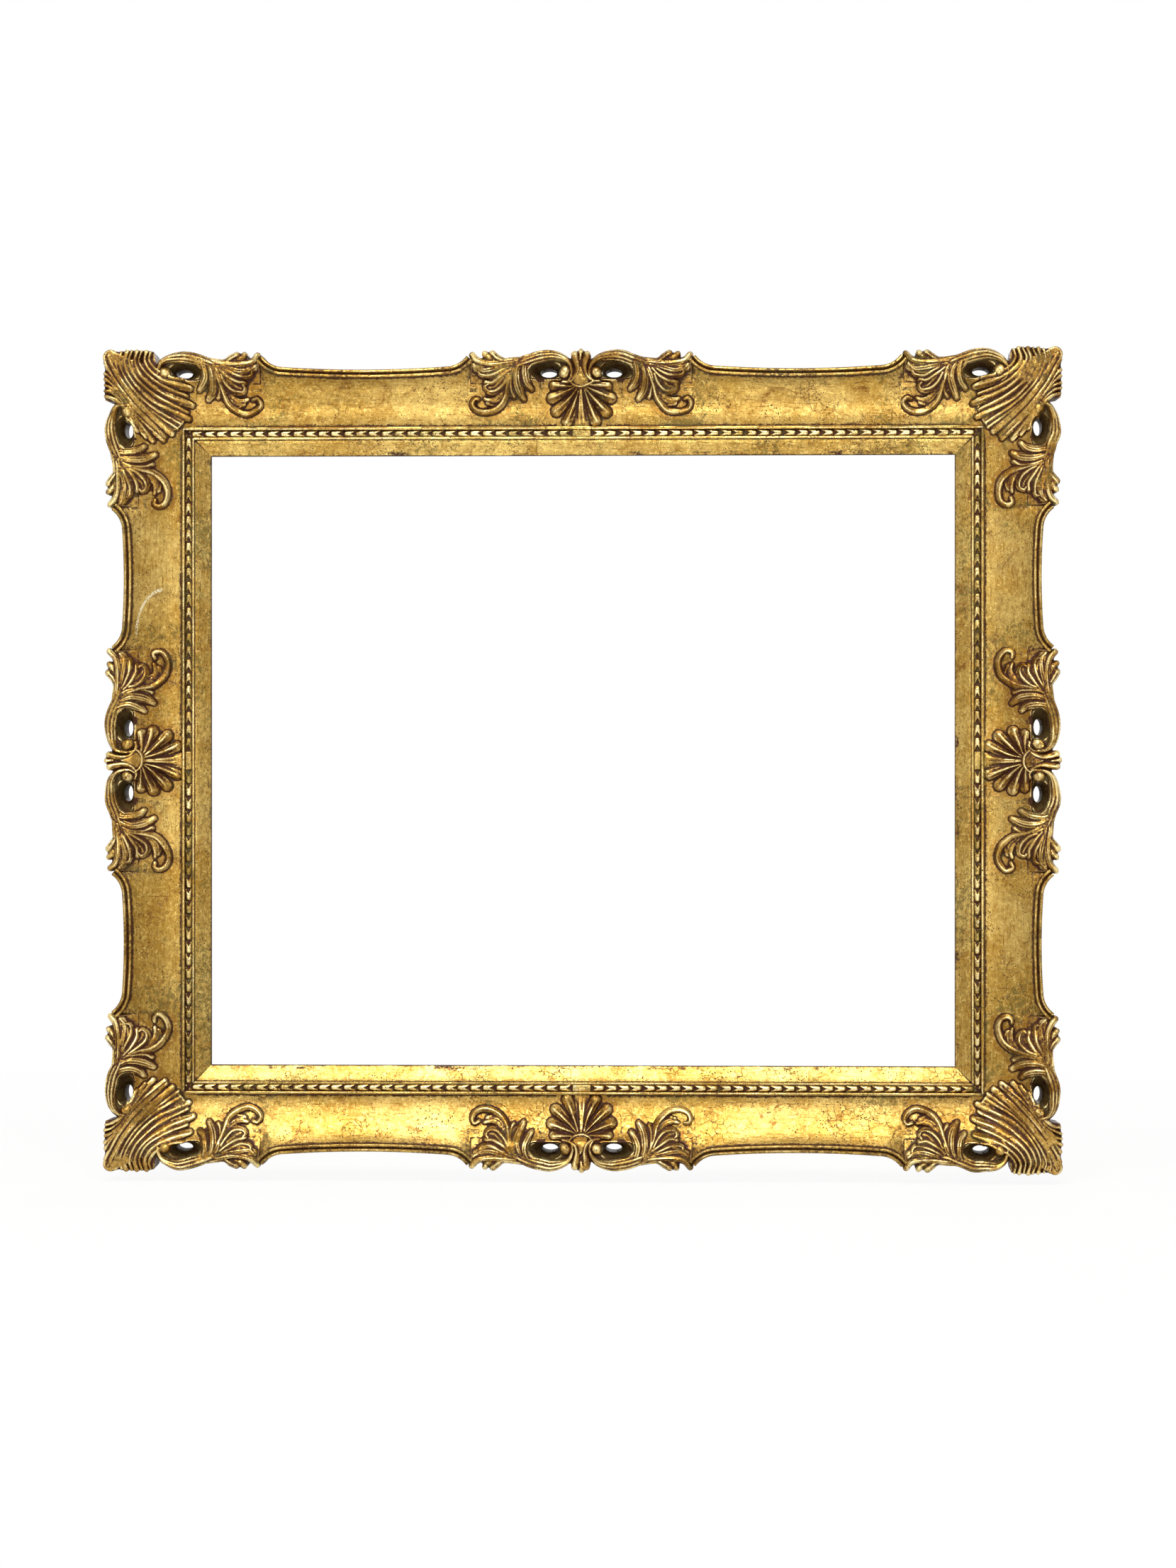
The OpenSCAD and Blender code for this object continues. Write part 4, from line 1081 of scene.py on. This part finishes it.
def wavering(n):
    """The object's coordinates, bent a little at random."""
    wobble = n.add("TexNoise", {"Vector": n.coords, "Scale": 160})["Color"]
    shift = n.add("VectorMath", {0: wobble, "Scale": 0.006}, operation="SCALE")
    return n.add("VectorMath", {0: n.coords, 1: shift[0]}, operation="ADD")[0]


def lay_flaws(n):
    """Lays dark specks in clusters and fine cracks, and returns where they are."""
    speck = n.times(n.step(n.cells(420), 0.16, 0.30, 1.0, 0.0),
                    n.step(n.noise(36, 4, 0.65), 0.50, 0.57))
    crack = n.step(n.cells(150, "DISTANCE_TO_EDGE", wavering(n)), 0.0, 0.04, 1.0, 0.0)
    crack = n.times(crack, n.step(n.noise(30, 3, 0.6), 0.50, 0.58))
    n.paint(n.times(speck, 0.9), SPECK)
    n.paint(n.times(crack, 0.6), CRACK)
    return n.math("MAXIMUM", crack, speck)


def leaf_seams(n, blot):
    """Lines across a rail where one leaf of gold overlaps the next."""
    place = n.math("ADD", n.attribute("Along"), LEAVES_BEFORE)
    turn = n.math("FRACT", n.math("DIVIDE", place, LEAF_OF_GOLD))
    near = n.math("ABSOLUTE", n.math("SUBTRACT", turn, 0.5))
    return n.times(n.step(near, 0.0, 0.006, 1.0, 0.0), n.step(blot, 0.42, 0.6))


def curved_scratch(n):
    """The pale curved scratch on the left rail, a quarter of an ellipse."""
    split = n.add("SeparateXYZ", {0: n.coords})
    a, b = [n.math("DIVIDE", n.math("SUBTRACT", split[axis], middle), reach)
            for axis, middle, reach in zip("XZ", SCRATCH_MIDDLE, SCRATCH_REACH)]
    far = n.math("SQRT", n.math("ADD", n.times(a, a), n.times(b, b)))
    near = n.math("ABSOLUTE", n.math("SUBTRACT", far, 1.0))
    line = n.times(n.step(near, 0.02, 0.05, 1.0, 0.0), n.step(n.noise(700, 4, 0.7), 0.40, 0.56))
    return n.times(line, n.times(n.step(a, -0.2, 0.0, 1.0, 0.0), n.step(b, -0.1, 0.1)))


def gilding(name, pale, amber, rubbed_highlight, toning, seams=False):
    """Old water gilding: leaf over red-brown bole, rubbed, toned and speckled, with painted shade
    and painted highlights from its tone.
    """
    n = surface(name)
    blot = n.noise(60, 6, 0.70, 0.5)
    noises = {"blot": blot, "grain": n.noise(330, 6, 0.72, 0.4), "fine": n.noise(1100, 4, 0.7)}
    if seams:
        noises["marks"] = rub_marks(n)
    n.paint(n.step(n.noise(13, 3, 0.55), 0.40, 0.60), pale, amber)
    for key, low, high, before, after, colour in LEAF_LAYERS + (MARK_LAYERS if seams else []):
        n.paint(n.step(noises[key], low, high, before, after), colour)
    glaze_and_shade = lay_tones(n, noises, toning, rubbed_highlight)
    flaws = lay_flaws(n)
    height = n.math("ADD", n.times(n.noise(520, 5, 0.65), 0.5), n.times(blot, 0.6))
    if seams:
        n.paint(n.times(leaf_seams(n, blot), 0.6), SEAM)
        n.paint(curved_scratch(n), SCRATCH)
        height = n.math("ADD", height, n.times(noises["marks"], 0.5))
    height = n.math("SUBTRACT", height, n.times(flaws, 0.5))
    covered = n.math("MAXIMUM", glaze_and_shade, flaws)
    rough = n.math("ADD", n.step(blot, 0.38, 0.62, 0.25, 0.40), n.times(covered, 0.25))
    return n.finish(Metallic=n.step(covered, 0.1, 0.9, 0.97, 0.25), Specular_IOR_Level=0.3,
                    Roughness=rough, Normal=n.bump(height, 0.0003, 0.8))


def bare_wood(name, light, dark, grain_scale):
    """Old softwood, with grain along the piece and stains."""
    n = surface(name)
    mapping = n.add("Mapping", {"Vector": n.coords, "Scale": (grain_scale, 160, grain_scale)})
    grain = n.noise(1.0, 6, 0.65, 0.8, mapping[0])
    n.paint(n.step(grain, 0.35, 0.68), dark, light)
    n.paint(n.step(n.noise(18, 5, 0.7), 0.5, 0.75, 0.0, 0.6), STAIN)
    return n.finish(Roughness=0.78, Normal=n.bump(grain, 0.0004, 0.6))


def old_steel(name, pale, dull):
    """Plated steel gone dull, with rust in spots."""
    n = surface(name)
    blot = n.noise(260, 5, 0.7, 0.5)
    rust = n.step(n.noise(420, 6, 0.75), 0.62, 0.72)
    n.paint(n.step(blot, 0.45, 0.7), dull, pale)
    n.paint(rust, RUST)
    return n.finish(Metallic=n.step(rust, 0.0, 1.0, 0.95, 0.1),
                    Roughness=n.step(blot, 0.3, 0.7, 0.34, 0.55),
                    Normal=n.bump(n.noise(1400, 3, 0.6), 0.00008, 0.6))


# The object

GOLD_RAIL = gilding("gilt_rail", (195, 163, 90), (172, 136, 62), (255, 238, 178), 0.8, True)
GOLD_CARVING = gilding("gilt_carving", (194, 155, 81), (147, 108, 46), (255, 232, 164), 1.0)
GOLD_MOULDING = gilding("gilt_moulding", (193, 163, 91), (168, 134, 64), (255, 238, 180),
                        0.8, True)
WOOD = bare_wood("old_back_wood", (176, 138, 92), (128, 92, 56), 14)
KEY_WOOD = bare_wood("key_hardwood", (150, 104, 62), (104, 66, 36), 40)
STEEL = old_steel("old_hanger_steel", (176, 166, 138), (120, 98, 66))


def dress(piece, *materials):
    """Gives a piece its materials, and keeps which face has which."""
    mesh = piece.data
    slots = np.zeros(len(mesh.polygons), np.int32)
    mesh.polygons.foreach_get("material_index", slots)
    mesh.materials.clear()
    for material in materials:
        mesh.materials.append(material)
    mesh.polygons.foreach_set("material_index", np.minimum(slots, len(materials) - 1))


def build_side(side):
    """A side's rail, sight moulding, row of leaf tips and carved shell."""
    rng = np.random.default_rng(40 + side)
    dress(build_rail(side, rng), GOLD_RAIL, WOOD)
    dress(build_moulding(side, rng), GOLD_MOULDING)
    dress(build_leaf_row(side, rng), GOLD_MOULDING)
    carving = centre_carving(np.random.default_rng(60 + side))
    gap = CENTRE_END_U - np.abs(carving.gx)
    dress(carve("carved_shell_" + SIDES[side], carving, carving.gy, gap, side_to_world(side),
                False, "centre_ornament_" + SIDES[side]), GOLD_CARVING)


def build_corner(corner):
    """The carved fan over a mitre, with its two sprays."""
    carving = corner_carving(np.random.default_rng(80 + corner))
    place, flip = corner_to_world(corner)
    ground_v = np.maximum(carving.gy, -carving.gx)
    gap = CORNER_END_A - np.where(carving.gy > -carving.gx, carving.gx, -carving.gy)
    dress(carve("carved_corner_" + CORNERS[corner], carving, ground_v, gap, place, flip,
                "corner_ornament_" + CORNERS[corner]), GOLD_CARVING)


for number in range(4):
    build_side(number)
for number in range(4):
    build_corner(number)
for node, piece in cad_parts.items():
    if node.startswith("hanger"):
        dress(piece, STEEL)
    elif node == "mitre_keys":
        dress(piece, KEY_WOOD)


# The studio

# The floor's height and half width, from where to where it turns wholly white, in
# metres from the middle, and how white it is to the camera before that
FLOOR_Z, FLOOR_HALF, FLOOR_NEAR, FLOOR_FAR, FLOOR_WHITE = -0.338, 30.0, 0.5, 1.6, 0.92


def seen_rays(n):
    """1 for the rays that show the surround: from the camera, a gloss or a glass."""
    rays = n.add("LightPath")
    return n.math("MAXIMUM", *[rays[f"Is {kind} Ray"]
                               for kind in ("Camera", "Glossy", "Transmission")])


def build_stage():
    """A pale flat floor, white to the camera and wholly so where it is far away."""
    mesh = bpy.data.meshes.new("studio_floor")
    corners = [(-1, -1), (1, -1), (1, 1), (-1, 1)]
    mesh.from_pydata([(x * FLOOR_HALF, y * FLOOR_HALF, FLOOR_Z) for x, y in corners], [],
                     [(0, 1, 2, 3)])
    floor = new_object("studio_floor", mesh)
    n = surface("studio_floor")
    n.colour = (0.86, 0.86, 0.86, 1)
    mesh.materials.append(n.finish(Roughness=0.9))
    far = n.add("VectorMath", {0: n.coords}, operation="LENGTH")["Value"]
    share = n.times(seen_rays(n), n.step(far, FLOOR_NEAR, FLOOR_FAR, FLOOR_WHITE, 1.0))
    n.mixed(share, n.tree.nodes["Principled BSDF"].outputs,
            n.add("Emission", {"Strength": 1.0}), "Material Output")


# Lamps: name, place, size and watts, then aim and spread where they aren't the usual
LAMPS = [
    ("overhead", (-0.2, -1.6, 1.9), (2.0, 1.2), 57),
    ("front_left", (-2.0, -1.6, 0.5), (0.7, 1.6), 1.2),
    ("front_right", (2.0, -1.8, 0.1), (0.7, 1.6), 1.3),
    ("low_front", (0.1, -1.3, -0.28), (1.8, 0.1), 0.65, (0, 0, 0.3), 44),
    ("under_front", (0, -0.4, -0.31), (1.3, 0.06), 0.14, (0, 0, 0.33), 60),
    ("behind", (0.4, 2.6, 1.0), (2.0, 1.6), 22),
    ("high_front", (0, -2.2, 0.7), (1.6, 0.2), 0.7, (0, 0, -0.32), 30),
]
OVERHEAD_COLOUR = (1.0, 0.99, 0.97)


def add_light(name, place, size, power, aim=(0, 0, 0), spread=180):
    """An area lamp that the camera doesn't see."""
    lamp = bpy.data.lights.new(name, "AREA")
    lamp.shape = "RECTANGLE"
    lamp.size, lamp.size_y = size
    lamp.energy = power
    lamp.color = OVERHEAD_COLOUR if name == "overhead" else (1, 1, 1)
    lamp.spread = math.radians(spread)
    holder = new_object(name, lamp)
    holder.location = place
    holder.visible_camera = False
    holder.rotation_euler = (Vector(aim) - Vector(place)).to_track_quat("-Z", "Y").to_euler()


def build_light():
    """A dim warm world that looks white, and the lamps."""
    world = bpy.data.worlds.new("studio")
    bpy.context.scene.world = world
    n = Nodes(world)
    back = n.tree.nodes["Background"]
    n.wire(back, {"Color": (1.0, 0.97, 0.91, 1), "Strength": 0.36})
    white = n.add("Background", {"Color": (1, 1, 1, 1)})
    n.mixed(seen_rays(n), back.outputs, white, "World Output")
    for lamp in LAMPS:
        add_light(*lamp)


# The photograph: its size and the frame's middle in pixels, and its scale. The camera
# stands a touch to the right, and the scale holds at a depth in front of the back.
PHOTO_W, PHOTO_H, MIDDLE_X, MIDDLE_Y, MM_PER_PX = 1659, 2212, 822.0, 1073.0, 0.571
DISTANCE, TURN, SCALE_DEPTH, SENSOR_W = 3.2, math.radians(2.0), 0.02, 36


def build_camera():
    """The photograph's view, framed alike."""
    camera = bpy.data.cameras.new("camera")
    camera.sensor_fit = "HORIZONTAL"
    camera.sensor_width = SENSOR_W
    camera.lens = SENSOR_W * (DISTANCE - SCALE_DEPTH) / (PHOTO_W * MM_PER_PX * MM)
    camera.shift_x = (PHOTO_W / 2 - MIDDLE_X) / PHOTO_W
    camera.shift_y = (MIDDLE_Y - PHOTO_H / 2) / PHOTO_W
    camera.clip_end = 50
    holder = new_object("camera", camera)
    holder.location = (DISTANCE * math.sin(TURN), -DISTANCE * math.cos(TURN), 0)
    holder.rotation_euler = (math.pi / 2, 0, TURN)
    bpy.context.scene.camera = holder


build_stage()
build_light()
build_camera()
bpy.context.scene.view_settings.view_transform = "Standard"
